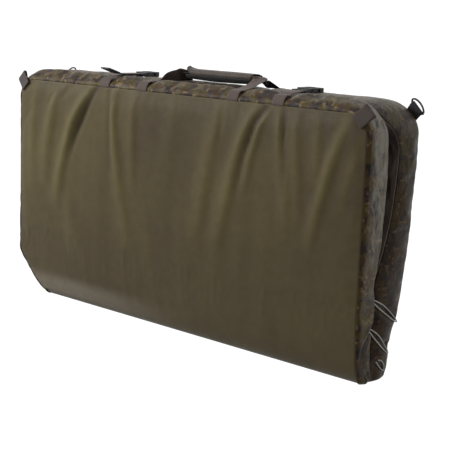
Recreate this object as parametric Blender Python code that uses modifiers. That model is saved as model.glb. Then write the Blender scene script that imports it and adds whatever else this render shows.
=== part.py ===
"""Padded unhooking mat, folded in half and standing on its fold.

Metres, +Z up. X runs along the fold, the front half faces -Y, and the origin is on the
floor below the plane where the two halves meet. Each half is a shallow padded tray: a base
panel outside, walls on three sides, and a lining inside.
"""

import math

import bmesh
import bpy
from mathutils import Matrix, Vector

# Whole mat
MAT_LENGTH = 1.036
MAT_HEIGHT = 0.541
FRONT_THICKNESS = 0.055
REAR_THICKNESS = 0.110
CORNER_RADIUS = 0.060
CLEARANCE = 0.0003
HALF_LENGTH = MAT_LENGTH / 2

# Padded shell of each half
FOLD_HEIGHT = 0.076
EDGE_ROUND = 0.014
RIM_ROUND = 0.006
WALL_WIDTH = 0.055
WALL_BULGE = 0.004
COVER = 0.0012
LINING = 0.0010
BASE_FOAM = 0.016
LINING_ROUND = 0.004
FOAM_EASE = 0.0030
SLIT_EASE = 0.016

# Shares of MAT_HEIGHT against shares of REAR_THICKNESS, read from the photographed end
REAR_FACE_SHARES = (
    (0.140, 0.60), (0.210, 0.76), (0.350, 0.86), (0.500, 0.95),
    (0.650, 1.0), (0.830, 1.05), (0.930, 1.03), (1.0, 0.98),
)
FRONT_RIM_SHARES = (
    (0.0, -0.08), (0.33, -0.08), (0.49, 0.03), (0.60, 0.09),
    (0.74, 0.12), (0.84, 0.10), (0.91, 0.06), (0.975, 0.0), (1.0, -0.002),
)
REAR_RIM_SHARES = (
    (0.0, -0.08), (0.33, -0.08), (0.485, 0.18), (0.59, 0.345), (0.73, 0.445),
    (0.835, 0.48), (0.905, 0.31), (0.965, 0.05), (0.985, 0.004), (1.0, 0.003),
)

# Lower left corner, which the elastic draws in
DRAWN_HEIGHT = 0.110
DRAWN_LENGTH = 0.095

# Crown and folds of the base panels: share of half length at the seam and at the fold's
# end, height share of that end, and share of the fold's depth
CROWN = 0.005
FOLD_DEPTH = 0.0035
FOLD_WIDTH = 0.016
FRONT_FOLD_SHARES = (
    (-0.55, -0.76, 0.50, 1.0), (-0.49, -0.42, 0.50, 0.8), (-0.89, -0.89, 0.65, 1.0),
    (0.50, 0.22, 0.52, 1.0), (0.57, 0.62, 0.72, 0.9), (0.93, 0.70, 0.66, 1.0),
    (-0.20, -0.10, 0.70, 0.5),
)
REAR_FOLD_SHARES = ((-0.52, -0.60, 0.60, 0.8), (0.52, 0.60, 0.60, 0.8))
PANEL_COLUMNS = 36
REAR_PANEL_COLUMNS = 20
PANEL_ROWS = 8
SIDE_STEPS = 7
CORNER_STEPS = 6

# Fold strip under both halves: shares of each half's thickness and of FOLD_HEIGHT
FRONT_FOLD_PROFILE_SHARES = (
    (-1.0, 1.0), (-1.0, 0.82), (-0.975, 0.60), (-0.91, 0.36), (-0.80, 0.14), (-0.64, 0.0),
)
REAR_FOLD_PROFILE_SHARES = (
    (0.40, 0.0), (0.50, 0.14), (0.565, 0.40), (0.60, 0.64), (0.60, 0.82), (0.60, 1.0),
)
FOLD_FOAM = 0.008
FOLD_STATIONS = 8
GUSSET_THICKNESS = 0.012
GUSSET_CROWN = 0.004
FOLD_HINGE_HEIGHT = 0.030
REAR_HINGE_Y = 0.042

# Webbing
WEBBING_WIDTH = 0.030
WEBBING = 0.0016
WEBBING_CENTRE = 0.043
HANDLE_SPREAD = 0.132
STRAP_SPREAD = 0.252
SEWN_LENGTH = 0.005
SEWN_CROWN_SHARE = 0.20
WEBBING_LIFT = 0.0006
BEND_STEPS = 4

# Grip round both handles
GRIP_LENGTH = 0.192
GRIP_SHIFT = 0.013
GRIP_Y = 0.046
GRIP_LIFT = 0.0355
GRIP_Z = MAT_HEIGHT + GRIP_LIFT
GRIP_WIDTH = 0.040
GRIP_HEIGHT = 0.016
GRIP_WALL = 0.0025
GRIP_END_SHARE = 0.86
HANDLE_STACK = 0.0030
WRAP_START_DEG = 80
WRAP_END_DEG = 292
FLAP_GAP_DEG = 2.5
GRIP_STEPS = 12
GRIP_TURN = 0.022
HANDLE_RISE_SHARES = ((0.15, 0.04), (0.5, 0.4), (0.85, 0.93))

# Side-release buckles
BUCKLE_WIDTH = 0.040
BUCKLE_HEIGHT = 0.0110
FEMALE_LENGTH = 0.038
FEMALE_WALL = 0.0022
MALE_BASE = 0.018
PRONG_LENGTH = 0.026
PRONG_WIDTH = 0.0055
TONGUE_WIDTH = 0.006
MALE_HEIGHT = 0.0052
BUCKLE_FIT = 0.0005
WINDOW_LENGTH = 0.012
BUCKLE_BEVEL = 0.0012
LEFT_BUCKLE_Y = 0.060
RIGHT_BUCKLE_Y = 0.028
TAIL_LENGTH = 0.075
TIP_LENGTH = 0.034
TIP_THICKNESS = 0.0042
TIP_RISE = 0.012

# Corner tabs and D-rings
TAB_LENGTH = 0.032
TAB_BASE = 0.0030
TAB_END = 0.0076
TAB_LEAN = 0.009
TAB_OVERLAP = 0.006
TAB_SEAT = 0.0047
RING_WIRE = 0.0040
RING_INSIDE = 0.033
RING_DEPTH = 0.013
RING_FIT = 0.0005
RING_SETBACK = 0.0042
RING_STEPS = 14

# Elastic cord loops at the ends of the fold
CORD = 0.0028
CORD_LIFT = 0.0012
CORD_BRIDGE = 0.0002
CORD_SPREAD = 0.010
CORD_TIP_SHARE = 0.1
# Shares of the way to the turn, and of half the spread, on either side of a loop
CORD_SIDE_SHARES = ((0.0, 0.6), (0.35, 1.3), (0.75, 1.0))
CORD_RETURN_SHARES = ((0.75, -1.0), (0.35, -0.9), (0.0, -0.6))
CORD_TURN_SHARES = (0.4, -0.4)
CORD_STEPS = 4
# Shares of REAR_THICKNESS and of FOLD_HEIGHT: where each loop comes out, and where it turns
CORD_LOOP_SHARES = (
    ((-0.09, 2.17), (0.63, 1.50)),
    ((-0.155, 1.43), (0.38, 0.74)),
    ((0.10, 0.56), (0.33, 0.27)),
)

CUT_OVERRUN = 0.004


def clear_scene():
    for item in list(bpy.data.objects):
        bpy.data.objects.remove(item, do_unlink=True)


def collection(name):
    made = bpy.data.collections.new(name)
    bpy.context.scene.collection.children.link(made)
    return made


def material(name, colour, roughness, metallic=0.0):
    made = bpy.data.materials.new(name)
    made.use_nodes = True
    shader = made.node_tree.nodes["Principled BSDF"]
    shader.inputs["Base Color"].default_value = (*colour, 1.0)
    shader.inputs["Roughness"].default_value = roughness
    shader.inputs["Metallic"].default_value = metallic
    return made


OLIVE = (0.105, 0.088, 0.050)
CAMO = (0.130, 0.115, 0.070)
BROWN = (0.060, 0.048, 0.038)
MAUVE = (0.120, 0.095, 0.085)
BLACK = (0.015, 0.015, 0.015)
GREY = (0.450, 0.430, 0.400)
FOAM = (0.600, 0.600, 0.580)


def read_shares(shares, share):
    """Value of a table of shares at one share, on a smooth curve that never overshoots."""
    if share <= shares[0][0]:
        return shares[0][1]
    slopes = [(high[1] - low[1]) / (high[0] - low[0]) for low, high in zip(shares, shares[1:])]
    tangents = [slopes[0]]
    for before, after in zip(slopes, slopes[1:]):
        same_way = before * after > 0
        tangents.append(2 * before * after / (before + after) if same_way else 0.0)
    tangents.append(slopes[-1])
    for i in range(len(slopes)):
        low = shares[i]
        high = shares[i + 1]
        if share <= high[0]:
            span = high[0] - low[0]
            t = (share - low[0]) / span
            return (low[1] * (1 + 2 * t) * (1 - t) ** 2 + high[1] * (3 - 2 * t) * t ** 2
                    + tangents[i] * span * t * (1 - t) ** 2
                    - tangents[i + 1] * span * t ** 2 * (1 - t))
    return shares[-1][1]


def drawn_in(z):
    """How far the left end is drawn in at a height."""
    return DRAWN_LENGTH * max(0.0, 1 - z / DRAWN_HEIGHT)


class Half:
    """One half of the mat. Depth is counted from the meeting plane towards its face."""

    def __init__(self, name, side, face_shares, rim_shares, rim_sign, folds, columns):
        self.name = name
        self.side = side
        self.face_shares = face_shares
        self.rim_shares = rim_shares
        self.rim_sign = rim_sign
        self.folds = folds
        self.columns = columns

    def face(self, z):
        """Depth of the outer face."""
        if self.face_shares is None:
            return FRONT_THICKNESS
        return REAR_THICKNESS * read_shares(self.face_shares, z / MAT_HEIGHT)

    def rim(self, z):
        """Depth of the wall top, which faces the other half."""
        share = read_shares(self.rim_shares, z / MAT_HEIGHT)
        return REAR_THICKNESS * share * self.rim_sign + CLEARANCE / 2

    def point(self, x, depth, z):
        return Vector((x, self.side * depth, z))


FRONT = Half("front", -1, None, FRONT_RIM_SHARES, -1, FRONT_FOLD_SHARES, PANEL_COLUMNS)
REAR = Half("rear", 1, REAR_FACE_SHARES, REAR_RIM_SHARES, 1, REAR_FOLD_SHARES,
            REAR_PANEL_COLUMNS)


def finish(mesh_data, name, finish_material, home, smooth_deg=35):
    """Make an object from a bmesh, with its faces pointing out."""
    bmesh.ops.recalc_face_normals(mesh_data, faces=mesh_data.faces)
    mesh = bpy.data.meshes.new(name)
    mesh_data.to_mesh(mesh)
    mesh_data.free()
    mesh.shade_smooth()
    mesh.set_sharp_from_angle(angle=math.radians(smooth_deg))
    made = bpy.data.objects.new(name, mesh)
    made.data.materials.append(finish_material)
    home.objects.link(made)
    return made


def loft(name, sections, finish_material, home):
    """Closed solid through closed sections that all have the same number of points."""
    mesh_data = bmesh.new()
    rings = [[mesh_data.verts.new(point) for point in section] for section in sections]
    count = len(rings[0])
    for low, high in zip(rings, rings[1:]):
        for i in range(count):
            j = (i + 1) % count
            mesh_data.faces.new((low[i], low[j], high[j], high[i]))
    mesh_data.faces.new(rings[0])
    mesh_data.faces.new(rings[-1])
    return finish(mesh_data, name, finish_material, home)


def offset_line(points, distance):
    """A line of (a, b) points moved to its left by a distance."""
    moved = []
    for i, point in enumerate(points):
        before = points[max(i - 1, 0)]
        after = points[min(i + 1, len(points) - 1)]
        along = (Vector(after) - Vector(before)).normalized()
        moved.append((point[0] - along.y * distance, point[1] + along.x * distance))
    return moved


def shell_section(line, start, thickness):
    """Closed section of a skin that starts a distance inside a line."""
    outer = offset_line(line, start)
    inner = offset_line(line, start + thickness)
    return outer + inner[::-1]


class Station:
    """A place on the outline of a half, with its outward normal in the XZ plane."""

    def __init__(self, x, z, normal_x, normal_z):
        self.x = x
        self.z = z
        self.normal_x = normal_x
        self.normal_z = normal_z

    def height(self, inset):
        return self.z - self.normal_z * inset

    def at(self, half, inset, depth):
        return half.point(self.x - self.normal_x * inset, depth, self.height(inset))


def side_heights():
    """Heights of the stations up an end wall, one of them where its lower corner bends."""
    high = MAT_HEIGHT - CORNER_RADIUS
    steps = range(SIDE_STEPS + 1)
    upper = [DRAWN_HEIGHT + (high - DRAWN_HEIGHT) * i / SIDE_STEPS for i in steps]
    return [FOLD_HEIGHT + CLEARANCE] + upper


def outline():
    """Stations from the left foot over the top to the right foot, with three named runs."""
    steps = CORNER_STEPS
    left = [Station(drawn_in(z) - HALF_LENGTH, z, -1, 0) for z in side_heights()]
    right = [Station(HALF_LENGTH, z, 1, 0) for z in reversed(side_heights())]
    centre_x = HALF_LENGTH - CORNER_RADIUS
    centre_z = MAT_HEIGHT - CORNER_RADIUS
    corners = {}
    for sign in (-1, 1):
        corners[sign] = []
        for i in range(1, steps):
            angle = math.pi / 2 * i / steps
            normal_x = sign * math.cos(angle)
            normal_z = math.sin(angle)
            corners[sign].append(Station(
                sign * centre_x + normal_x * CORNER_RADIUS,
                centre_z + normal_z * CORNER_RADIUS, normal_x, normal_z))
    top = [Station(centre_x * share, MAT_HEIGHT, 0, 1) for share in (-1, -0.5, 0, 0.5, 1)]
    middle = steps // 2
    left_run = left + corners[-1][:middle]
    top_run = corners[-1][middle - 1:] + top + corners[1][::-1][:middle]
    right_run = corners[1][::-1][middle - 1:] + right
    whole = left + corners[-1] + top + corners[1][::-1] + right
    return whole, left_run, top_run, right_run


def cover_line(half, station):
    """From the seam on the face, round the padded edge, to the rim."""
    face = half.face(station.height(EDGE_ROUND))
    rim = half.rim(station.z)
    side_top = face - EDGE_ROUND
    side_low = rim + RIM_ROUND
    return [
        (EDGE_ROUND, face),
        (EDGE_ROUND * 0.85, face),
        (EDGE_ROUND * 0.45, face - EDGE_ROUND * 0.15),
        (EDGE_ROUND * 0.13, face - EDGE_ROUND * 0.5),
        (0.0, side_top),
        (-WALL_BULGE, (side_top + side_low) / 2),
        (0.0, side_low),
        (RIM_ROUND * 0.25, rim + RIM_ROUND * 0.3),
        (RIM_ROUND * 0.7, rim),
        (RIM_ROUND, rim),
    ]


def lining_line(half, station):
    """From the rim over the wall top and down the inner wall to the floor."""
    rim = half.rim(station.z)
    floor = half.face(station.height(WALL_WIDTH)) - BASE_FOAM - COVER - LINING
    floor -= FOAM_EASE
    return [
        (RIM_ROUND + CLEARANCE, rim),
        (WALL_WIDTH - LINING_ROUND, rim),
        (WALL_WIDTH, rim + LINING_ROUND),
        (WALL_WIDTH, floor),
    ]


def foam_section(half, station):
    """Section of a wall foam, kept clear of its cover where the slit turns fast."""
    rim = half.rim(station.z)
    if station.normal_x:
        rim = max(rim, half.rim(station.z - SLIT_EASE), half.rim(station.z + SLIT_EASE))
    outside = COVER + CLEARANCE
    inside = WALL_WIDTH - LINING - CLEARANCE
    low = rim + COVER + FOAM_EASE
    high = half.face(station.height(outside)) - BASE_FOAM - COVER - FOAM_EASE
    deep = half.face(station.height(inside)) - BASE_FOAM - COVER - FOAM_EASE
    return [
        (outside, high), (outside, low + RIM_ROUND), (outside + RIM_ROUND, low),
        (inside - LINING_ROUND, low), (inside, low + LINING_ROUND), (inside, deep),
    ]


def swept(name, half, stations, section_of, finish_material, home):
    sections = []
    for station in stations:
        line = section_of(station)
        sections.append([station.at(half, inset, depth) for inset, depth in line])
    return loft(name, sections, finish_material, home)


def trimmed(run, at_start, at_end):
    """A run of stations with a small gap left at its ends, square to the corner."""
    gap = CLEARANCE / 2
    made = list(run)
    for index, neighbour, wanted in ((0, 1, at_start), (-1, -2, at_end)):
        if not wanted:
            continue
        end = made[index]
        beside = made[neighbour]
        away = Vector((beside.x - end.x, beside.z - end.z)).normalized() * gap
        made[index] = Station(end.x + away.x, end.z + away.y, end.normal_x, end.normal_z)
    return made


def relief(half, x, z, across):
    """How far a base panel stands out: its crown, less the folds drawn from the seams."""
    top = MAT_HEIGHT - EDGE_ROUND
    up = (z - FOLD_HEIGHT) / (top - FOLD_HEIGHT)
    edge = max(0.0, 1 - across ** 4) * max(0.0, 1 - up ** 6)
    height = CROWN * edge
    for seam_share, end_share, end_height, depth_share in half.folds:
        down = (1 - z / top) / (1 - end_height)
        if down >= 1:
            continue
        centre = HALF_LENGTH * (seam_share + (end_share - seam_share) * down)
        near = math.exp(-((x - centre) / FOLD_WIDTH) ** 2)
        height -= FOLD_DEPTH * depth_share * near * (1 - down) * edge
    return max(height, 0.0)


def panel_rows(inset):
    """Heights of the rows of a flat layer, closer in its rounded top corners."""
    radius = CORNER_RADIUS - inset
    bend = MAT_HEIGHT - CORNER_RADIUS
    rows = [FOLD_HEIGHT + CLEARANCE]
    rows += [DRAWN_HEIGHT + (bend - DRAWN_HEIGHT) * i / PANEL_ROWS for i in range(PANEL_ROWS)]
    for i in range(CORNER_STEPS + 1):
        rows.append(bend + radius * math.sin(math.pi / 2 * i / CORNER_STEPS))
    return rows


def panel_ends(z, inset):
    """Left and right ends of a panel row, inside the rounded corners."""
    radius = CORNER_RADIUS - inset
    centre_z = MAT_HEIGHT - CORNER_RADIUS
    above = min(max(0.0, z - centre_z), radius)
    corner = radius - math.sqrt(max(radius ** 2 - above ** 2, 0.0))
    reach = HALF_LENGTH - inset - corner
    return drawn_in(z) - reach, reach


def base_cover(half, finish_material, home):
    """Padded outer panel: a formed outer skin on a plain back."""
    mesh_data = bmesh.new()
    inset = EDGE_ROUND + CLEARANCE
    rows = panel_rows(inset)
    columns = half.columns
    outer = []
    back = []
    for z in rows:
        left, right = panel_ends(z, inset)
        row = []
        for i in range(columns + 1):
            x = left + (right - left) * i / columns
            depth = half.face(z) + relief(half, x, z, 2 * i / columns - 1)
            row.append(mesh_data.verts.new(half.point(x, depth, z)))
        outer.append(row)
        inner = half.face(z) - COVER
        if z in (rows[0], rows[-1]):
            spots = [left + (right - left) * i / columns for i in range(columns + 1)]
        else:
            spots = [left, right]
        back.append([mesh_data.verts.new(half.point(x, inner, z)) for x in spots])
    for low, high in zip(outer, outer[1:]):
        for i in range(columns):
            mesh_data.faces.new((low[i], low[i + 1], high[i + 1], high[i]))
    for low, high in zip(back, back[1:]):
        mesh_data.faces.new(low + high[::-1])
    for row in (0, -1):
        for i in range(columns):
            mesh_data.faces.new((outer[row][i], outer[row][i + 1],
                                 back[row][i + 1], back[row][i]))
    for j in range(len(rows) - 1):
        for side in (0, -1):
            mesh_data.faces.new((outer[j][side], outer[j + 1][side],
                                 back[j + 1][side], back[j][side]))
    return finish(mesh_data, half.name + "_base_cover", finish_material, home)


def slab(name, half, inset, outer_of, inner_of, finish_material, home):
    """Flat layer of a half, as sections from its foot to its top."""
    sections = []
    for z in panel_rows(inset):
        left, right = panel_ends(z, inset)
        outer = outer_of(z)
        inner = inner_of(z)
        sections.append([
            half.point(left, outer, z), half.point(right, outer, z),
            half.point(right, inner, z), half.point(left, inner, z)])
    return loft(name, sections, finish_material, home)


def build_half(half, finishes, home):
    whole, left_run, top_run, right_run = outline()
    base_cover(half, finishes["olive"], home)
    swept(half.name + "_wall_cover", half, whole,
          lambda station: shell_section(cover_line(half, station), 0.0, COVER),
          finishes["camo"], home)
    swept(half.name + "_wall_lining", half, whole,
          lambda station: shell_section(lining_line(half, station), 0.0, LINING),
          finishes["brown"], home)
    runs = (
        ("left", trimmed(left_run, False, True)),
        ("top", trimmed(top_run, True, True)),
        ("right", trimmed(right_run, True, False)),
    )
    for place, run in runs:
        swept(f"{half.name}_{place}_wall_foam", half, run,
              lambda station: foam_section(half, station), finishes["foam"], home)
    foam_face = COVER + CLEARANCE
    foam_back = foam_face + BASE_FOAM
    slab(half.name + "_base_foam", half, EDGE_ROUND + 2 * COVER,
         lambda z: half.face(z) - foam_face, lambda z: half.face(z) - foam_back,
         finishes["foam"], home)
    lining_face = foam_back + CLEARANCE
    lining_back = lining_face + LINING
    slab(half.name + "_floor_lining", half, WALL_WIDTH + CLEARANCE,
         lambda z: half.face(z) - lining_face, lambda z: half.face(z) - lining_back,
         finishes["brown"], home)


def fold_line():
    """Section of the strip under the fold, from the front panel to the rear one."""
    line = []
    for thickness, shares in ((FRONT_THICKNESS, FRONT_FOLD_PROFILE_SHARES),
                              (REAR_THICKNESS, REAR_FOLD_PROFILE_SHARES)):
        for share_y, share_z in shares:
            lowered = CLEARANCE if share_z > 0.9 else 0.0
            line.append((share_y * thickness, share_z * FOLD_HEIGHT - lowered))
    return line


def fold_layer(name, start, thickness, finish_material, home):
    """One layer of the strip under the fold, from end to end."""
    section = shell_section(fold_line(), start, thickness)
    sections = []
    for i in range(FOLD_STATIONS + 1):
        share = i / FOLD_STATIONS
        ring = []
        for y, z in section:
            left = drawn_in(z) - HALF_LENGTH + GUSSET_THICKNESS
            right = HALF_LENGTH - GUSSET_THICKNESS
            ring.append(Vector((left + (right - left) * share, y, z)))
        sections.append(ring)
    return loft(name, sections, finish_material, home)


def gusset(name, sign, finish_material, home):
    """Gathered end of the fold, crowned outwards."""
    line = fold_line()
    middle = Vector((
        sum(y for y, z in line) / len(line), sum(z for y, z in line) / len(line)))
    sections = []
    stations = (
        (CLEARANCE, 0.0), (GUSSET_THICKNESS - GUSSET_CROWN, 0.0),
        (GUSSET_THICKNESS - GUSSET_CROWN / 3, 0.12), (GUSSET_THICKNESS, 0.40),
    )
    for reach, shrink in stations:
        ring = []
        for y, z in line:
            spot = Vector((y, z)).lerp(middle, shrink)
            inset = drawn_in(spot.y) if sign < 0 else 0.0
            x = HALF_LENGTH - GUSSET_THICKNESS - inset + reach
            ring.append(Vector((sign * x, spot.x, spot.y)))
        sections.append(ring)
    return loft(name, sections, finish_material, home)


def smooth_route(points, steps):
    """Points on a smooth curve through the given ones."""
    route = []
    for i in range(len(points) - 1):
        before = points[max(i - 1, 0)]
        low = points[i]
        high = points[i + 1]
        after = points[min(i + 2, len(points) - 1)]
        for k in range(steps):
            t = k / steps
            route.append(0.5 * (
                2 * low + (high - before) * t
                + (2 * before - 5 * low + 4 * high - after) * t ** 2
                + (3 * low - before - 3 * high + after) * t ** 3))
    route.append(points[-1])
    return route


def ribbon(name, points, sides, finish_material, home, steps=BEND_STEPS,
           width=WEBBING_WIDTH, thickness=WEBBING):
    """Flat webbing along a route, with the direction of its width at each point."""
    route = smooth_route(points, steps)
    widths = smooth_route(sides, steps)
    sections = []
    for i, centre in enumerate(route):
        along = (route[min(i + 1, len(route) - 1)] - route[max(i - 1, 0)]).normalized()
        side = widths[i] - along * widths[i].dot(along)
        side = side.normalized() * width / 2
        up = along.cross(side).normalized() * thickness / 2
        sections.append([centre + side + up, centre - side + up,
                         centre - side - up, centre + side - up])
    return loft(name, sections, finish_material, home)


def over_edge(half, x, lift):
    """Route of webbing from its sewn end on the face over the padded top edge."""
    seam = MAT_HEIGHT - EDGE_ROUND
    face = half.face(seam)
    sewn = seam - SEWN_LENGTH
    points = [half.point(x, half.face(sewn) + CROWN * SEWN_CROWN_SHARE + lift, sewn),
              half.point(x, face + WEBBING_LIFT / 2 + lift, seam)]
    radius = EDGE_ROUND + lift
    for degrees in (25, 50, 75):
        angle = math.radians(degrees)
        points.append(half.point(
            x, face - EDGE_ROUND + radius * math.cos(angle),
            seam + (radius + WALL_BULGE) * math.sin(angle)))
    return points


def strap_x(place):
    """Middle of a closure strap, to the left or right of the handles."""
    return WEBBING_CENTRE + (STRAP_SPREAD if place == "right" else -STRAP_SPREAD)


def handle(half, name, stack, finish_material, home):
    """Carry handle: two ends sewn to the seam, joined through the grip."""
    lift = WEBBING_LIFT + WEBBING / 2
    points = over_edge(half, HANDLE_SPREAD, lift)
    sides = [Vector((1, 0, 0)) for _ in points]
    low = webbing_level()
    high = GRIP_Z + stack
    start = points[-1].y
    turn = GRIP_Y + half.side * GRIP_TURN
    for share, rise in HANDLE_RISE_SHARES:
        points.append(Vector((HANDLE_SPREAD, start + (turn - start) * share,
                              low + (high - low) * rise)))
        sides.append(Vector((1, 0, 0)))
    for degrees in (20, 45, 70, 90):
        angle = math.radians(degrees)
        outwards = Vector((math.cos(angle), -half.side * math.sin(angle), 0))
        centre = Vector((HANDLE_SPREAD - GRIP_TURN, turn, high))
        points.append(centre + outwards * GRIP_TURN)
        sides.append(outwards)
    points.append(Vector((0, GRIP_Y, high)))
    sides.append(Vector((0, -half.side, 0)))
    points += [Vector((-point.x, point.y, point.z)) for point in reversed(points[:-1])]
    sides += [Vector((-side.x, side.y, side.z)) for side in reversed(sides[:-1])]
    points = [point + Vector((WEBBING_CENTRE, 0, 0)) for point in points]
    return ribbon(name, points, sides, finish_material, home, steps=3)


def grip_ring(start_deg, end_deg, grow, x):
    """Part of the grip's oval wall at one place along it."""
    ring = []
    inner = []
    for i in range(GRIP_STEPS + 1):
        angle = math.radians(start_deg + (end_deg - start_deg) * i / GRIP_STEPS)
        for line, wall in ((ring, 0.0), (inner, GRIP_WALL)):
            half_width = GRIP_WIDTH / 2 * grow - wall
            half_height = GRIP_HEIGHT / 2 * grow - wall
            c = math.cos(angle)
            s = math.sin(angle)
            line.append(Vector((
                x, GRIP_Y + half_width * math.copysign(abs(c) ** 0.7, c),
                GRIP_Z + half_height * math.copysign(abs(s) ** 0.7, s))))
    return ring + inner[::-1]


def grip_part(name, start_deg, end_deg, finish_material, home):
    sections = []
    for share in (-1.0, -0.93, -0.5, 0.0, 0.5, 0.93, 1.0):
        grow = 1.0 if abs(share) < 0.9 else 1 - (1 - GRIP_END_SHARE) * (abs(share) - 0.9) * 4
        x = WEBBING_CENTRE + GRIP_SHIFT + GRIP_LENGTH / 2 * share
        sections.append(grip_ring(start_deg, end_deg, grow, x))
    return loft(name, sections, finish_material, home)


def flap_hinge():
    angle = math.radians(WRAP_START_DEG - FLAP_GAP_DEG / 2)
    c = math.cos(angle)
    return Vector((
        WEBBING_CENTRE + GRIP_SHIFT, GRIP_Y + GRIP_WIDTH / 2 * math.copysign(abs(c) ** 0.7, c),
        GRIP_Z + GRIP_HEIGHT / 2 * math.sin(angle) ** 0.7))


def box(name, low, high, finish_material, home, bevel=0.0):
    mesh_data = bmesh.new()
    bmesh.ops.create_cube(mesh_data, size=1.0)
    size = high - low
    for vertex in mesh_data.verts:
        vertex.co = Vector((vertex.co.x * size.x, vertex.co.y * size.y, vertex.co.z * size.z))
        vertex.co += (low + high) / 2
    made = finish(mesh_data, name, finish_material, home)
    if bevel:
        rounded = made.modifiers.new("rounded", "BEVEL")
        rounded.width = bevel
        rounded.segments = 2
    return made


def cutter(made, cutters):
    for place in list(made.users_collection):
        place.objects.unlink(made)
    cutters.objects.link(made)
    made.hide_render = True
    made.display_type = "WIRE"
    return made


def cut(target, tool):
    step = target.modifiers.new("cut", "BOOLEAN")
    step.operation = "DIFFERENCE"
    step.solver = "EXACT"
    step.object = tool


def webbing_level():
    """Middle of webbing that lies on the top of the mat."""
    return MAT_HEIGHT + WALL_BULGE + WEBBING_LIFT + WEBBING / 2


def buckle_floor():
    return webbing_level() + WEBBING / 2 + CLEARANCE


def female_buckle(place, x, mouth_y, finish_material, home, cutters):
    """Socket half of a buckle, open to the front and at its sides."""
    floor = buckle_floor()
    top = floor + BUCKLE_HEIGHT
    back = mouth_y + FEMALE_LENGTH
    half_width = BUCKLE_WIDTH / 2
    made = box(f"{place}_female_buckle", Vector((x - half_width, mouth_y, floor)),
               Vector((x + half_width, back, top)), finish_material, home, BUCKLE_BEVEL)
    pocket_half = half_width - FEMALE_WALL
    middle = (floor + top) / 2
    pocket_height = MALE_HEIGHT / 2 + BUCKLE_FIT
    pocket = box(f"{place}_pocket", Vector((x - pocket_half, mouth_y - CUT_OVERRUN,
                                            middle - pocket_height)),
                 Vector((x + pocket_half, mouth_y + PRONG_LENGTH + BUCKLE_FIT,
                         middle + pocket_height)), finish_material, home)
    cut(made, cutter(pocket, cutters))
    window_low = mouth_y + PRONG_LENGTH - WINDOW_LENGTH
    window = box(f"{place}_window", Vector((x - half_width - CUT_OVERRUN, window_low,
                                            middle - pocket_height)),
                 Vector((x + half_width + CUT_OVERRUN, window_low + WINDOW_LENGTH,
                         middle + pocket_height)), finish_material, home)
    cut(made, cutter(window, cutters))
    slot_high = back - FEMALE_WALL
    slot = box(f"{place}_bar_slot", Vector((x - WEBBING_WIDTH / 2 - BUCKLE_FIT,
                                            slot_high - 2 * FEMALE_WALL, floor - CUT_OVERRUN)),
               Vector((x + WEBBING_WIDTH / 2 + BUCKLE_FIT, slot_high, top + CUT_OVERRUN)),
               finish_material, home)
    cut(made, cutter(slot, cutters))
    return made


def male_buckle(place, x, mouth_y, finish_material, home):
    """Plug half of a buckle: a base with two side prongs and a tongue."""
    middle = buckle_floor() + BUCKLE_HEIGHT / 2
    pocket_half = BUCKLE_WIDTH / 2 - FEMALE_WALL - BUCKLE_FIT
    base_half = BUCKLE_WIDTH / 2 - BUCKLE_BEVEL
    front = mouth_y - MALE_BASE
    step = mouth_y - BUCKLE_FIT
    tip = mouth_y + PRONG_LENGTH - BUCKLE_FIT
    inner = pocket_half - PRONG_WIDTH
    tongue = TONGUE_WIDTH / 2
    right_side = [
        (base_half, front), (base_half, step), (pocket_half, step),
        (pocket_half - BUCKLE_BEVEL, tip - WINDOW_LENGTH), (pocket_half, tip - BUCKLE_BEVEL),
        (pocket_half - BUCKLE_BEVEL, tip), (inner, tip), (inner, step),
        (tongue, step), (tongue, tip - BUCKLE_BEVEL),
    ]
    left_side = [(-side, y) for side, y in reversed(right_side)]
    curve = bpy.data.curves.new(f"{place}_male_buckle", "CURVE")
    curve.dimensions = "2D"
    curve.fill_mode = "BOTH"
    curve.extrude = MALE_HEIGHT / 2
    spline = curve.splines.new("POLY")
    points = right_side + left_side
    spline.points.add(len(points) - 1)
    for spot, (side, y) in zip(spline.points, points):
        spot.co = (x + side, y, 0, 1)
    spline.use_cyclic_u = True
    made = bpy.data.objects.new(f"{place}_male_buckle", curve)
    made.location.z = middle
    curve.materials.append(finish_material)
    home.objects.link(made)
    return made


def closure_strap(place, x, mouth_y, finish_material, home):
    """From the front seam, over the top of both halves to the plug."""
    level = buckle_floor() + BUCKLE_HEIGHT / 2
    end = mouth_y - MALE_BASE - CLEARANCE
    points = over_edge(FRONT, x, WEBBING_LIFT + WEBBING / 2)
    points.append(Vector((x, EDGE_ROUND * 1.5 - FRONT_THICKNESS, webbing_level())))
    points.append(Vector((x, (end - FRONT_THICKNESS) / 2, (webbing_level() + level) / 2)))
    points.append(Vector((x, end, level)))
    sides = [Vector((1, 0, 0)) for _ in points]
    ribbon(f"{place}_closure_strap", points, sides, finish_material, home, steps=2)


def anchor_strap(place, x, mouth_y, finish_material, home):
    """From the rear seam to the socket, and up through its slot."""
    slot_y = mouth_y + FEMALE_LENGTH - 2 * FEMALE_WALL
    edge = over_edge(REAR, x, WEBBING_LIFT + WEBBING / 2)
    points = [point for point in edge if point.y > slot_y + 2 * FEMALE_WALL]
    below = min(webbing_level(), points[-1].z + EDGE_ROUND / 2)
    points.append(Vector((x, slot_y + 1.6 * FEMALE_WALL, below)))
    points.append(Vector((x, slot_y + FEMALE_WALL / 4, webbing_level())))
    points.append(Vector((x, slot_y, buckle_floor() + BUCKLE_HEIGHT / 2)))
    sides = [Vector((1, 0, 0)) for _ in points]
    ribbon(f"{place}_anchor_strap", points, sides, finish_material, home, steps=2)


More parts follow.
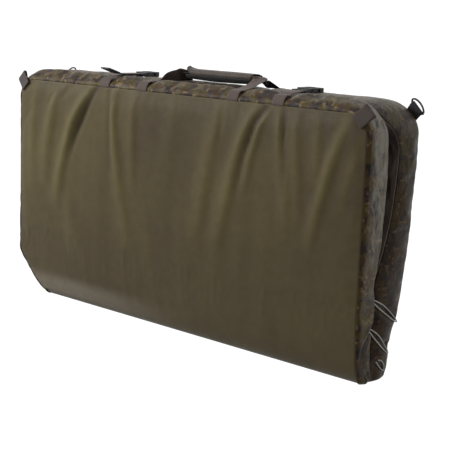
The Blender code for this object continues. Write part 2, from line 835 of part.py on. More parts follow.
def corner_spot(sign):
    """Where a tab is sewn: the seam's rounded corner, and the way out from it."""
    outwards = Vector((sign, 0, 1)).normalized()
    centre = Vector((sign * (HALF_LENGTH - CORNER_RADIUS), 0, MAT_HEIGHT - CORNER_RADIUS))
    return centre + outwards * (CORNER_RADIUS - EDGE_ROUND - TAB_OVERLAP), outwards


def tab_frame(half, sign):
    """Start of a corner tab, its direction and the direction of its width."""
    start, outwards = corner_spot(sign)
    start.y = half.side * (half.face(start.z) + TAB_SEAT)
    along = (outwards * TAB_LENGTH - Vector((0, half.side * TAB_LEAN, 0))).normalized()
    across = Vector((outwards.z, 0, -outwards.x))
    return start, along, across


def ring_centre(half, sign):
    start, along, _ = tab_frame(half, sign)
    return start + along * (TAB_LENGTH + TAB_OVERLAP - RING_SETBACK)


def corner_tab(half, sign, finish_material, home, cutters):
    """Webbing folded back on itself, at the rear with the eye that holds its ring."""
    place = "left" if sign < 0 else "right"
    name = f"{half.name}_{place}_tab"
    start, along, across = tab_frame(half, sign)
    up = along.cross(across)
    length = TAB_LENGTH + TAB_OVERLAP
    sections = []
    for share, thick_share in ((0, 0), (0.45, 0.25), (0.72, 0.85), (0.88, 1.0),
                               (0.97, 0.8), (1.0, 0.45)):
        centre = start + along * length * share
        thick = TAB_BASE + (TAB_END - TAB_BASE) * thick_share
        side = across * WEBBING_WIDTH / 2
        rise = up * thick / 2
        sections.append([centre + side + rise, centre - side + rise,
                         centre - side - rise, centre + side - rise])
    made = loft(name, sections, finish_material, home)
    if half is FRONT:
        return made
    eye = bmesh.new()
    bmesh.ops.create_cone(eye, cap_ends=True, segments=12,
                          radius1=RING_WIRE / 2 + RING_FIT, radius2=RING_WIRE / 2 + RING_FIT,
                          depth=WEBBING_WIDTH + 2 * CUT_OVERRUN)
    tool = finish(eye, name + "_eye", finish_material, home)
    tool.rotation_mode = "QUATERNION"
    tool.rotation_quaternion = Vector((0, 0, 1)).rotation_difference(across)
    tool.location = ring_centre(half, sign)
    cut(made, cutter(tool, cutters))
    return made


def d_ring(half, sign, finish_material, home):
    """Wire ring with a straight side through the tab's eye, its origin on that side."""
    place = "left" if sign < 0 else "right"
    name = f"{half.name}_{place}_d_ring"
    _, along, across = tab_frame(half, sign)
    reach = RING_INSIDE / 2 + RING_WIRE / 2
    curve = bpy.data.curves.new(name, "CURVE")
    curve.dimensions = "3D"
    curve.bevel_depth = RING_WIRE / 2
    curve.bevel_resolution = 2
    points = [across * reach * 0.86, across * reach * -0.86]
    for i in range(RING_STEPS + 1):
        angle = math.pi * i / RING_STEPS
        points.append(across * reach * -math.cos(angle)
                      + along * (RING_WIRE + (RING_DEPTH - RING_WIRE / 2) * math.sin(angle)))
    spline = curve.splines.new("POLY")
    spline.points.add(len(points) - 1)
    for spot, point in zip(spline.points, points):
        spot.co = (*point, 1)
    spline.use_cyclic_u = True
    made = bpy.data.objects.new(name, curve)
    made.location = ring_centre(half, sign)
    curve.materials.append(finish_material)
    home.objects.link(made)
    return made


def end_surface(sign, y, z, lift):
    """X of a cord that lies on the end of the mat, measured outwards."""
    clear = CORD / 2 + lift
    surface = HALF_LENGTH
    if z > FOLD_HEIGHT * 0.7:
        half = REAR if y > REAR.rim(z) else FRONT
        low = half.rim(z) + RIM_ROUND
        high = half.face(z) - EDGE_ROUND
        from_middle = abs(2 * y * half.side - low - high) / (high - low)
        surface += WALL_BULGE * max(0.0, 1 - from_middle)
    if sign > 0:
        return surface + clear
    sloped = min(max(1 + (DRAWN_HEIGHT - z) / CORD, 0.0), 1.0)
    return surface - drawn_in(z) + clear * math.hypot(sloped * DRAWN_LENGTH / DRAWN_HEIGHT, 1)


def cord_loop(name, sign, shares, finish_material, home):
    """Elastic cord out of the slit, round the rear edge and back."""
    (start_y, start_z), (turn_y, turn_z) = shares
    start = Vector((start_y * REAR_THICKNESS, start_z * FOLD_HEIGHT))
    turn = Vector((turn_y * REAR_THICKNESS, turn_z * FOLD_HEIGHT))
    along = (turn - start).normalized()
    apart = Vector((-along.y, along.x)) * CORD_SPREAD / 2
    tip = turn + along * CORD_SPREAD * CORD_TIP_SHARE
    flat = [start.lerp(turn, share) + apart * side for share, side in CORD_SIDE_SHARES]
    flat += [tip + apart * side for side in CORD_TURN_SHARES]
    flat += [start.lerp(turn, share) + apart * side for share, side in CORD_RETURN_SHARES]
    middle = CORD_LIFT if sign > 0 else CORD_LIFT + CORD_BRIDGE
    lifts = [CLEARANCE] + [middle] * (len(flat) - 2) + [CLEARANCE]
    raised = [Vector((*spot, lift)) for spot, lift in zip(flat, lifts)]
    route = [Vector((sign * end_surface(sign, y, z, lift), y, z))
             for y, z, lift in smooth_route(raised, CORD_STEPS)]
    curve = bpy.data.curves.new(name, "CURVE")
    curve.dimensions = "3D"
    curve.bevel_depth = CORD / 2
    curve.bevel_resolution = 2
    curve.use_fill_caps = True
    spline = curve.splines.new("POLY")
    spline.points.add(len(route) - 1)
    for spot, point in zip(spline.points, route):
        spot.co = (*point, 1)
    made = bpy.data.objects.new(name, curve)
    curve.materials.append(finish_material)
    home.objects.link(made)
    return made


def strap_tail(x, mouth_y, finishes, home):
    """Loose end of the left strap, turned back over it, with its stiff black end."""
    level = buckle_floor() + BUCKLE_HEIGHT / 2 + WEBBING + 2 * CLEARANCE
    start = mouth_y - MALE_BASE - WEBBING_LIFT
    low = webbing_level() + WEBBING * 1.5 + CLEARANCE
    points = [Vector((x, start, level)),
              Vector((x, start - TAIL_LENGTH * 0.3, level)),
              Vector((x, start - TAIL_LENGTH * 0.7, (level + low) / 2 + WEBBING)),
              Vector((x, start - TAIL_LENGTH, low + TIP_RISE / 2))]
    sides = [Vector((1, 0, 0)) for _ in points]
    ribbon("left_strap_tail", points, sides, finishes["mauve"], home, steps=3)
    tip = [points[-1] + Vector((0, -CLEARANCE, 0)),
           points[-1] + Vector((0, -TIP_LENGTH * 0.5, TIP_RISE * 0.5)),
           points[-1] + Vector((0, -TIP_LENGTH, TIP_RISE))]
    ribbon("left_tail_end", tip, sides[:3], finishes["black"], home, steps=2,
           thickness=TIP_THICKNESS)


def pivot(name, spot, pieces, home):
    """Empty on a joint's axis, with the pieces that turn or slide there."""
    made = bpy.data.objects.new(name, None)
    made.location = spot
    home.objects.link(made)
    for piece in pieces:
        child = bpy.data.objects[piece]
        child.parent = made
        child.matrix_parent_inverse = Matrix.Translation(-Vector(spot))
    return made


def build_pivots(home):
    """Joint axes: both halves on the fold, handles and straps on their seams."""
    seam = MAT_HEIGHT - EDGE_ROUND
    front_seam_y = -FRONT_THICKNESS - WEBBING_LIFT
    rear_seam_y = REAR.face(seam) + WEBBING_LIFT
    layers = ("base_cover", "wall_cover", "wall_lining", "base_foam", "floor_lining",
              "left_wall_foam", "top_wall_foam", "right_wall_foam", "left_tab", "right_tab")
    front_fold_y = FOLD_HINGE_HEIGHT - FRONT_THICKNESS
    pivot("front_fold_axis", (0, front_fold_y, FOLD_HINGE_HEIGHT),
          [f"front_{layer}" for layer in layers], home)
    rear_pieces = [f"rear_{layer}" for layer in layers]
    for place in ("left", "right"):
        rear_pieces += [f"{place}_female_buckle", f"{place}_anchor_strap",
                        f"{place}_elastic_loop_1"]
    pivot("rear_fold_axis", (0, REAR_HINGE_Y, FOLD_HINGE_HEIGHT), rear_pieces, home)
    pivot("front_handle_axis", (WEBBING_CENTRE, front_seam_y, seam), ["front_handle", "grip_wrap"], home)
    pivot("grip_flap_axis", flap_hinge(), ["grip_flap"], home)
    pivot("rear_handle_axis", (WEBBING_CENTRE, rear_seam_y, seam), ["rear_handle"], home)
    strap_z = seam - SEWN_LENGTH / 2
    pivot("left_strap_axis", (strap_x("left"), front_seam_y, strap_z),
          ["left_closure_strap", "left_strap_tail", "left_tail_end", "left_male_buckle"], home)
    pivot("right_strap_axis", (strap_x("right"), front_seam_y, strap_z),
          ["right_closure_strap", "right_male_buckle"], home)


def main():
    clear_scene()
    home = collection("unhooking_mat")
    cutters = collection("cutters")
    cutters.hide_render = True
    finishes = {
        "olive": material("olive_coated_fabric", OLIVE, 0.45),
        "camo": material("camouflage_fabric", CAMO, 0.5),
        "brown": material("brown_lining", BROWN, 0.55),
        "mauve": material("brown_webbing", MAUVE, 0.8),
        "black": material("black_plastic", BLACK, 0.35),
        "black_webbing": material("black_webbing", BLACK, 0.85),
        "grey": material("grey_elastic", GREY, 0.7),
        "foam": material("closed_cell_foam", FOAM, 0.9),
    }
    for half in (FRONT, REAR):
        build_half(half, finishes, home)
    fold_layer("fold_cover", 0.0, COVER, finishes["olive"], home)
    foam_start = COVER + CLEARANCE
    fold_layer("fold_foam", foam_start, FOLD_FOAM, finishes["foam"], home)
    lining_start = foam_start + FOLD_FOAM + CLEARANCE
    fold_layer("fold_lining", lining_start, LINING, finishes["brown"], home)
    for place, sign in (("left", -1), ("right", 1)):
        gusset(f"{place}_fold_gusset", sign, finishes["camo"], home)
        for i, shares in enumerate(CORD_LOOP_SHARES):
            cord_loop(f"{place}_elastic_loop_{i + 1}", sign, shares, finishes["grey"], home)

    handle(FRONT, "front_handle", HANDLE_STACK / 2, finishes["mauve"], home)
    handle(REAR, "rear_handle", -HANDLE_STACK / 2, finishes["mauve"], home)
    grip_part("grip_wrap", WRAP_START_DEG, WRAP_END_DEG, finishes["mauve"], home)
    grip_part("grip_flap", WRAP_END_DEG + FLAP_GAP_DEG, 360 + WRAP_START_DEG - FLAP_GAP_DEG,
              finishes["black_webbing"], home)

    for place, mouth_y in (("left", LEFT_BUCKLE_Y), ("right", RIGHT_BUCKLE_Y)):
        x = strap_x(place)
        female_buckle(place, x, mouth_y, finishes["black"], home, cutters)
        male_buckle(place, x, mouth_y, finishes["black"], home)
        closure_strap(place, x, mouth_y, finishes["mauve"], home)
        anchor_strap(place, x, mouth_y, finishes["mauve"], home)
    strap_tail(strap_x("left"), LEFT_BUCKLE_Y, finishes, home)

    for half in (FRONT, REAR):
        for sign in (-1, 1):
            shade = "mauve" if half is FRONT else "black_webbing"
            corner_tab(half, sign, finishes[shade], home, cutters)
    for sign in (-1, 1):
        d_ring(REAR, sign, finishes["black"], home)
    build_pivots(home)


main()
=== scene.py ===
import math

import bmesh
import bpy
from bpy.props import FloatProperty, FloatVectorProperty, PointerProperty
from mathutils import Matrix, Vector, noise
from mathutils.bvhtree import BVHTree


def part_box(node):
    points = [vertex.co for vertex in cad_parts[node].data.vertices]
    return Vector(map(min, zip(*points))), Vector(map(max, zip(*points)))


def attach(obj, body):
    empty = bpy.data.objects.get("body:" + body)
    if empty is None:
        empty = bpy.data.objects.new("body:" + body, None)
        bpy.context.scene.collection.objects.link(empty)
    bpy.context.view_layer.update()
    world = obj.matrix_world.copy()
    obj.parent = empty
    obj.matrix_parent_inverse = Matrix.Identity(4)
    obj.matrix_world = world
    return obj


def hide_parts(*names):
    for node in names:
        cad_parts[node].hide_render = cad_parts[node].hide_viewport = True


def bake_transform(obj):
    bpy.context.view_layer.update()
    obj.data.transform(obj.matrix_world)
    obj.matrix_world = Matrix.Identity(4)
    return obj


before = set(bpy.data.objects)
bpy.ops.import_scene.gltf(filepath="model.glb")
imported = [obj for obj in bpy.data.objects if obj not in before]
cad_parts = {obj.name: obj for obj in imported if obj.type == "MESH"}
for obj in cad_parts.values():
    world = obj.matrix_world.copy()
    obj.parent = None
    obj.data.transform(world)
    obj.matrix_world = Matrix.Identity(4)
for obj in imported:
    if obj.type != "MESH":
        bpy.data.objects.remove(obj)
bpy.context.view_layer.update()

bl_info = {
    "name": "Unhooking mat",
    "version": (1, 0, 0),
    "blender": (4, 5, 0),
    "location": "View3D > Sidebar > Mat",
    "description": "Padded unhooking mat, folded in half and standing on its fold",
    "category": "Object",
}

# The mat's main sizes, from the frame
EDGE_ROUND = 0.014
CLEARANCE = 0.0003
WALL_BULGE = 0.004
CORNER_RADIUS = 0.06
WALL_WIDTH = 0.055
PAD = 0.016
PANEL_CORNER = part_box("front_base_cover")[1]
HALF_LENGTH = PANEL_CORNER.x + EDGE_ROUND + CLEARANCE
MAT_HEIGHT = PANEL_CORNER.z + EDGE_ROUND + CLEARANCE
SEAM = MAT_HEIGHT - EDGE_ROUND
FRONT_THICKNESS = -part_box("front_wall_cover")[0].y
REAR_THICKNESS = 0.11
FOLD_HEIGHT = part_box("fold_cover")[1].z + CLEARANCE
GRIP_LOW, GRIP_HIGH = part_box("grip_wrap")
GRIP_FLAP_LOW, GRIP_FLAP_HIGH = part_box("grip_flap")
WEBBING_CENTRE = 0.043
HANDLE_SPREAD = 0.132
STRAP_SPREAD = 0.252
RIM_ROUND = 0.006
FOOT_RADIUS = 0.009
SEAM_TUCK = 0.003
DRAWN_HEIGHT = 0.1
DRAWN_LENGTH = 0.082

# Shares of the mat's height against shares of a half's thickness
REAR_FACE_SHARES = (
    (0.14, 0.54), (0.175, 0.61), (0.225, 0.73), (0.35, 0.85), (0.5, 0.95), (0.65, 1.0),
    (0.83, 1.05), (0.93, 1.03), (1.0, 0.98),
)
FRONT_RIM_SHARES = (
    (0.0, -0.08), (0.33, -0.08), (0.49, 0.03), (0.6, 0.09), (0.74, 0.12), (0.84, 0.1),
    (0.91, 0.06), (0.975, 0.0), (1.0, -0.002),
)
REAR_RIM_SHARES = (
    (0.0, -0.08), (0.33, -0.08), (0.485, 0.18), (0.59, 0.345), (0.73, 0.445), (0.835, 0.48),
    (0.905, 0.31), (0.965, 0.05), (0.985, 0.004), (1.0, 0.003),
)
FRONT_FACE_SHARES = ((0.14, 0.955), (0.185, 0.985), (0.25, 1.0), (0.6, 1.0), (1.0, 1.0))
# Shares of a half's thickness against shares of the fold's height
FRONT_FOLD_SHARES = (
    (-0.075, 0.0), (0.2, 0.0), (0.46, 0.0), (0.64, 0.1), (0.78, 0.28), (0.88, 0.55), (0.93, 0.82),
)
REAR_FOLD_SHARES = (
    (0.038, 0.0), (0.18, 0.0), (0.33, 0.0), (0.43, 0.11), (0.495, 0.32), (0.525, 0.62),
    (0.53, 0.82),
)


def metres(name, text, default):
    return FloatProperty(name=name, description=text, default=default, unit="LENGTH",
                         precision=4)


def shade(name, text, default):
    return FloatVectorProperty(name=name, description=text, default=default, size=3,
                               min=0.0, max=1.0, subtype="COLOR")


class MAT_PG_sizes(bpy.types.PropertyGroup):
    """Sizes of the mat's soft parts and webbing."""

    crown: metres("Crown", "How far the base panels stand out in their middle", 0.0055)
    fold_depth: metres("Fold depth", "Height of the highest folds in the base panels", 0.0085)
    cloth_step: metres("Cloth step", "Size of the faces of the padded parts", 0.007)
    swell: metres("Swell", "How far padding may swell from its cut shape", 0.0035)
    webbing_width: metres("Webbing width", "Width of the webbing", 0.03)
    webbing: metres("Webbing thickness", "Thickness of the webbing", 0.0018)
    cord: metres("Elastic cord", "Diameter of the elastic cord", 0.0026)


class MAT_PG_colours(bpy.types.PropertyGroup):
    """Colours of the mat's fabrics and fittings."""

    olive: shade("Olive", "Base panels", (0.092, 0.073, 0.033))
    # olive_dark also gives the painted shade low on the panels, towards their right and in the
    # fold hollows
    olive_dark: shade("Olive shade", "Duller areas of the base panels", (0.062, 0.046, 0.026))
    # Painted reflection of the white floor along the panels' lower edge
    olive_floor_reflection: shade("Olive scuff", "Scuffed lower edge", (0.19, 0.165, 0.125))
    # Painted highlight on the crests of the folds
    olive_crest_highlight: shade("Olive crest", "Stretched crests of the folds", (0.128, 0.106, 0.042))
    camo_base: shade("Camouflage ground", "Ground of the walls' pattern", (0.086, 0.066, 0.025))
    camo_dark: shade("Camouflage dark", "Dark patches", (0.036, 0.027, 0.027))
    camo_black: shade("Camouflage black", "Darkest patches", (0.014, 0.012, 0.012))
    camo_tan: shade("Camouflage tan", "Light patches", (0.215, 0.155, 0.085))
    camo_brown: shade("Camouflage brown", "Brown patches", (0.07, 0.044, 0.024))
    # Painted sheen: a pale painted reflection on the walls
    camo_painted_sheen: shade("Bloom", "Pale bloom on the walls", (0.27, 0.255, 0.222))
    lining: shade("Lining", "Inside of the trays", (0.078, 0.058, 0.046))
    webbing: shade("Webbing", "Handles and straps", (0.095, 0.062, 0.05))
    tab: shade("Tabs", "Front corner tabs", (0.062, 0.044, 0.036))
    black: shade("Black", "Plastic and black webbing", (0.012, 0.011, 0.011))
    elastic: shade("Elastic", "Elastic cord", (0.43, 0.42, 0.39))


FINISHES = {}
WALL_COVERS = []


def sizes():
    return bpy.context.scene.mat_sizes


def clamped(value, low=0.0, high=1.0):
    return min(max(value, low), high)


def read_shares(shares, at):
    """Value of a table of shares at one share, on a smooth curve that never overshoots."""
    if at <= shares[0][0]:
        return shares[0][1]
    slopes = [(high[1] - low[1]) / (high[0] - low[0]) for low, high in zip(shares, shares[1:])]
    tangents = [slopes[0]]
    for before, after in zip(slopes, slopes[1:]):
        same_way = before * after > 0
        tangents.append(2 * before * after / (before + after) if same_way else 0.0)
    tangents.append(slopes[-1])
    for i, (low, high) in enumerate(zip(shares, shares[1:])):
        if at <= high[0]:
            span = high[0] - low[0]
            t = (at - low[0]) / span
            return (low[1] * (1 + 2 * t) * (1 - t) ** 2 + high[1] * (3 - 2 * t) * t ** 2
                    + tangents[i] * span * t * (1 - t) ** 2
                    - tangents[i + 1] * span * t ** 2 * (1 - t))
    return shares[-1][1]


def drawn_in(z):
    """How far the left end is drawn in at a height."""
    return DRAWN_LENGTH * max(0.0, 1 - z / DRAWN_HEIGHT)


def smooth_route(points, steps):
    """Points on a smooth curve through the given ones."""
    route = []
    for i in range(len(points) - 1):
        before, low, high, after = (
            points[clamped(k, 0, len(points) - 1)] for k in (i - 1, i, i + 1, i + 2))
        for t in (k / steps for k in range(steps)):
            route.append(0.5 * (
                2 * low + (high - before) * t
                + (2 * before - 5 * low + 4 * high - after) * t ** 2
                + (3 * low - before - 3 * high + after) * t ** 3))
    route.append(points[-1])
    return route


def run_length(points):
    return sum((high - low).length for low, high in zip(points, points[1:]))


def resampled(points, count):
    """The same line with its points at even distances."""
    reach = [0.0]
    for low, high in zip(points, points[1:]):
        reach.append(reach[-1] + (high - low).length)
    made = []
    at = 0
    for i in range(count + 1):
        wanted = reach[-1] * i / count
        while at < len(points) - 2 and reach[at + 1] < wanted:
            at += 1
        span = reach[at + 1] - reach[at]
        made.append(points[at].lerp(points[at + 1], (wanted - reach[at]) / span if span else 0))
    return made


class Half:
    """One half of the mat. Depth is counted from the meeting plane towards its face."""

    def __init__(self, *facts):
        (self.name, self.side, self.thickness, self.face_shares, self.rim_shares,
         self.fold_shares) = facts

    def face(self, z):
        """Depth of the outer face, down to where it turns under the fold."""
        if z < FOLD_HEIGHT:
            turn = [(height, depth) for depth, height in self.fold_shares[2:]]
            return self.thickness * read_shares(turn, z / FOLD_HEIGHT)
        return self.thickness * read_shares(self.face_shares, z / MAT_HEIGHT)

    def rim(self, z):
        """Depth of the wall top, which faces the other half."""
        depth = REAR_THICKNESS * read_shares(self.rim_shares, z / MAT_HEIGHT)
        return depth * self.side + CLEARANCE / 2

    def point(self, x, depth, z):
        return Vector((x, self.side * depth, z))


FRONT = Half("front", -1, FRONT_THICKNESS, FRONT_FACE_SHARES, FRONT_RIM_SHARES,
             FRONT_FOLD_SHARES)
REAR = Half("rear", 1, REAR_THICKNESS, REAR_FACE_SHARES, REAR_RIM_SHARES, REAR_FOLD_SHARES)


def deselect():
    for item in bpy.context.selected_objects:
        item.select_set(False)


def modified(piece, kind, **settings):
    """Add one modifier to a piece, and apply it."""
    step = piece.modifiers.new("step", kind)
    for name, value in settings.items():
        setattr(step, name, value)
    deselect()
    piece.select_set(True)
    bpy.context.view_layer.objects.active = piece
    bpy.ops.object.modifier_apply(modifier=step.name)


def subdivided(piece):
    modified(piece, "SUBSURF", levels=1, render_levels=1)


def thickened(piece, thickness):
    modified(piece, "SOLIDIFY", thickness=thickness, offset=-1)


def add_object(name, mesh_data, finish, closed=True):
    """Object from a bmesh, with its finish. A closed one faces out."""
    if closed:
        bmesh.ops.recalc_face_normals(mesh_data, faces=mesh_data.faces)
        if mesh_data.calc_volume(signed=True) < 0:
            bmesh.ops.reverse_faces(mesh_data, faces=mesh_data.faces)
    mesh = bpy.data.meshes.new(name)
    mesh_data.to_mesh(mesh)
    mesh_data.free()
    mesh.uv_layers[0].name = "UVMap"
    mesh.uv_layers[0].active_render = True
    mesh.shade_smooth()
    mesh.set_sharp_from_angle(angle=math.radians(50))
    made = bpy.data.objects.new("look_" + name, mesh)
    mesh.materials.append(FINISHES[finish])
    bpy.context.scene.collection.objects.link(made)
    return made


def grid_faces(mesh_data, rows, uvs, loop=False):
    """Quads between rows of points, with their places on the cloth as UV."""
    layer = mesh_data.loops.layers.uv.verify()
    made = [[mesh_data.verts.new(point) for point in row] for row in rows]
    count = len(rows[0])
    for j in range(len(rows) - 1):
        for i in range(count if loop else count - 1):
            k = (i + 1) % count
            face = mesh_data.faces.new((made[j][i], made[j][k], made[j + 1][k], made[j + 1][i]))
            spots = (uvs[j][i], uvs[j][i + 1], uvs[j + 1][i + 1], uvs[j + 1][i])
            for corner, spot in zip(face.loops, spots):
                corner[layer].uv = spot
    return made


def cloth_uvs(rows, loop=False):
    """Places on the cloth in metres: along the rows' middle, and across each row."""
    uvs = []
    along = 0.0
    middle = len(rows[0]) // 2
    for j, row in enumerate(rows):
        if j:
            along += (row[middle] - rows[j - 1][middle]).length
        line = [(0.0, along)]
        closed = row + row[:1] if loop else row
        for low, high in zip(closed, closed[1:]):
            line.append((line[-1][0] + (high - low).length, along))
        uvs.append(line)
    return uvs


def looped_sheet(rows):
    """Flat tube from rows that go out on one face and back on the other, its ends closed."""
    mesh_data = bmesh.new()
    made = grid_faces(mesh_data, rows, cloth_uvs(rows, loop=True), loop=True)
    for row in (made[0][::-1], made[-1]):
        for k in range(len(row) // 2 - 1):
            mesh_data.faces.new((row[k], row[k + 1], row[-2 - k], row[-1 - k]))
    return mesh_data


CLOTH_SETTINGS = {
    "quality": 5, "mass": 0.3, "tension_stiffness": 25, "compression_stiffness": 12,
    "shear_stiffness": 6, "bending_stiffness": 0.25, "use_pressure": True,
    "vertex_group_mass": "sewn", "pin_stiffness": 1,
}
CLOTH_FRAMES = 20


def swell(piece, held, pressure, growth, cap):
    """Blow the padding up as cloth, hold what is sewn, and cap how far a point may move."""
    scene = bpy.context.scene
    sewn = piece.vertex_groups.new(name="sewn")
    for index, weight in enumerate(held):
        if weight:
            sewn.add([index], weight, "REPLACE")
    start = [vertex.co.copy() for vertex in piece.data.vertices]
    step = piece.modifiers.new("cloth", "CLOTH")
    settings = step.settings
    for name, value in CLOTH_SETTINGS.items():
        setattr(settings, name, value)
    settings.uniform_pressure_force = pressure
    settings.shrink_min = -growth
    settings.effector_weights.gravity = 0
    step.collision_settings.use_collision = False
    step.collision_settings.use_self_collision = False
    step.point_cache.frame_start = 1
    step.point_cache.frame_end = CLOTH_FRAMES
    for number in range(1, CLOTH_FRAMES + 1):
        scene.frame_set(number)
    shown = piece.evaluated_get(bpy.context.evaluated_depsgraph_get())
    ended = [vertex.co.copy() for vertex in shown.data.vertices]
    piece.modifiers.remove(step)
    piece.vertex_groups.remove(sewn)
    scene.frame_set(1)
    for vertex, before, after in zip(piece.data.vertices, start, ended):
        moved = after - before
        if moved.length > cap:
            moved *= cap / moved.length
        vertex.co = before + moved
    piece.data.update()


def nearest_on_line(points, x, z):
    """Signed distance to a line of (x, z) points, right of it positive, and the share along."""
    best = None
    for i, ((ax, az), (bx, bz)) in enumerate(zip(points, points[1:])):
        dx = bx - ax
        dz = bz - az
        held = clamped(((x - ax) * dx + (z - az) * dz) / (dx * dx + dz * dz))
        away = math.hypot(x - ax - held * dx, z - az - held * dz)
        if best is None or away < best[0]:
            side = (z - az) * dx - (x - ax) * dz
            best = (away, math.copysign(away, side), (i + held) / (len(points) - 1))
    return best[1], best[2]


def in_metres(*folds):
    """Folds given in millimetres: width, height as a share or in metres, and a line."""
    return [(width / 1000, high, *[(x / 1000, z / 1000) for x, z in line])
            for width, high, *line in folds]


# Ridges drawn from the webbing's seams: their width, height share, and line as (x, z)
FRONT_PANEL_FOLDS = in_metres(
    (13, 1.0, (-250, 530), (-308, 437), (-348, 322), (-372, 225)),
    (7, -0.9, (-228, 531), (-262, 480), (-300, 410), (-328, 340)),
    (5, -0.6, (-192, 531), (-185, 470), (-181, 395), (-170, 330)),
    (13, 0.8, (-180, 530), (-172, 450), (-163, 395), (-143, 285), (-108, 165)),
    (12, 0.45, (-112, 515), (-110, 387), (-104, 290)),
    (16, 0.75, (-378, 530), (-383, 460), (-402, 370), (-412, 270)),
    (14, 0.6, (-452, 520), (-460, 400), (-464, 250)),
    (18, 0.55, (154, 520), (128, 420), (104, 291), (78, 190)),
    (14, 0.9, (250, 530), (216, 448), (182, 335), (146, 205)),
    (7, -1.0, (279, 531), (240, 484), (214, 410), (196, 330)),
    (6, 0.6, (286, 531), (258, 484), (236, 410), (222, 340)),
    (5, -0.6, (312, 531), (319, 470), (324, 400), (330, 340)),
    (10, 0.65, (298, 530), (314, 450), (326, 370), (336, 280)),
    (12, 0.4, (342, 520), (356, 400), (362, 280)),
    (10, 0.9, (470, 530), (456, 485), (434, 415), (408, 320), (390, 240)),
    (10, 0.45, (400, 520), (404, 440), (398, 370)),
    (8, 0.5, (498, 480), (480, 415), (458, 320)),
    (20, 0.22, (20, 520), (10, 430), (-5, 320)),
    (20, 0.3, (-330, 250), (-300, 170), (-285, 110)),
    (18, 0.22, (-60, 260), (-52, 180), (-48, 110)),
)
REAR_PANEL_FOLDS = in_metres(
    (14, 0.9, (-240, 530), (-290, 430), (-330, 300)),
    (13, 0.7, (-180, 530), (-160, 420), (-150, 290)),
    (14, 0.9, (330, 530), (360, 430), (400, 290)),
    (13, 0.7, (262, 530), (235, 420), (225, 300)),
    (14, 0.6, (-430, 530), (-425, 420), (-420, 330)),
    (13, 0.6, (450, 530), (440, 420), (425, 320)),
    (18, 0.4, (60, 530), (50, 420), (20, 300)),
    (16, 0.4, (-60, 530), (-75, 430), (-100, 330)),
)
# Hollows and ridges where the elastic gathers the end walls: width, height, and line as (y, z)
END_FOLDS = in_metres(
    (5, -0.01, (-18, 114), (-31, 84), (-41, 50)),
    (6, 0.0055, (-12, 178), (-17, 141), (-36, 104)),
    (5, -0.0022, (2, 362), (-27, 312), (-51, 258)),
    (6, 0.002, (4, 300), (-20, 235), (-34, 180)),
    (7, -0.01, (0, 157), (31, 141), (66, 124)),
    (7, 0.0045, (8, 128), (34, 112), (60, 98)),
    (6.5, -0.009, (-4, 94), (24, 77), (55, 64)),
    (6, 0.004, (4, 62), (28, 48), (50, 40)),
    (5, -0.006, (-2, 40), (22, 30), (45, 22)),
    (6, 0.003, (-48, 150), (-50, 100), (-46, 60)),
    (6, -0.004, (-30, 40), (-18, 22), (4, 12)),
)


def direction(route, i):
    """Direction of a route at one of its points."""
    return (route[min(i + 1, len(route) - 1)] - route[max(i - 1, 0)]).normalized()


def noise_at(*place):
    return noise.noise(Vector(place))


def fold_relief(folds, x, z):
    """Height of the ridges at one place, each steeper on its right flank."""
    height = 0.0
    for width, high, *line in folds:
        away, along = nearest_on_line(line, x, z)
        if abs(away) > 5 * width or along >= 1:
            continue
        start = 0.12 if high > 0 else 0.3
        fade = math.sin(math.pi * min(along * (1 - start) + start, 1.0)) ** 0.7
        spread = width * (0.8 + 0.5 * along) * (1.25 if away < 0 else 0.7)
        height += high * fade * math.exp(-0.7 * (away / spread) ** 2)
    return height


END_INSET_SHARE = 0.5


def panel_ends(z, inset):
    """Left and right ends of a panel row, inside the rounded corners."""
    above = clamped((z - MAT_HEIGHT + CORNER_RADIUS) / (CORNER_RADIUS - inset))
    wide = CORNER_RADIUS - inset * END_INSET_SHARE
    reach = HALF_LENGTH - CORNER_RADIUS + wide * math.sqrt(1 - above ** 2)
    return drawn_in(z) - reach, reach


# Height, width and depth of the hollows that the elastic makes in the rear face's ends
PINCHES = ((0.06, 0.008, 0.0035), (0.1, 0.009, 0.0045), (0.142, 0.009, 0.003))
PINCHED_HEIGHT = 0.2
PROFILE_STEPS = 24


def pinched(half, z):
    """How far the elastic draws the rear face in at its ends, between the lobes."""
    if half is FRONT or z > PINCHED_HEIGHT:
        return 0.0
    return sum(deep * math.exp(-((z - at) / width) ** 2) for at, width, deep in PINCHES)


def panel_profile(half):
    """Line of (depth, height) from the middle of the foot up the face to the seam."""
    points = [Vector((half.thickness * depth, FOLD_HEIGHT * height))
              for depth, height in half.fold_shares]
    rise = SEAM + SEAM_TUCK - FOLD_HEIGHT
    heights = [FOLD_HEIGHT + rise * i / PROFILE_STEPS for i in range(PROFILE_STEPS + 1)]
    points += [Vector((half.face(z), z)) for z in heights]
    return smooth_route(points, 4)


# Heights of a panel's ripples and of the puckers at its seams, and how far the puckers reach
RIPPLE = 0.0011
SEAM_PUCKER = 0.0018
SEAM_PUCKER_REACH = 0.03
END_PUCKER = 0.0015
END_PUCKER_REACH = 0.022
# Flat borders along the seams, where nothing stands out
SEAM_BORDER = 0.01
END_BORDER = 0.008


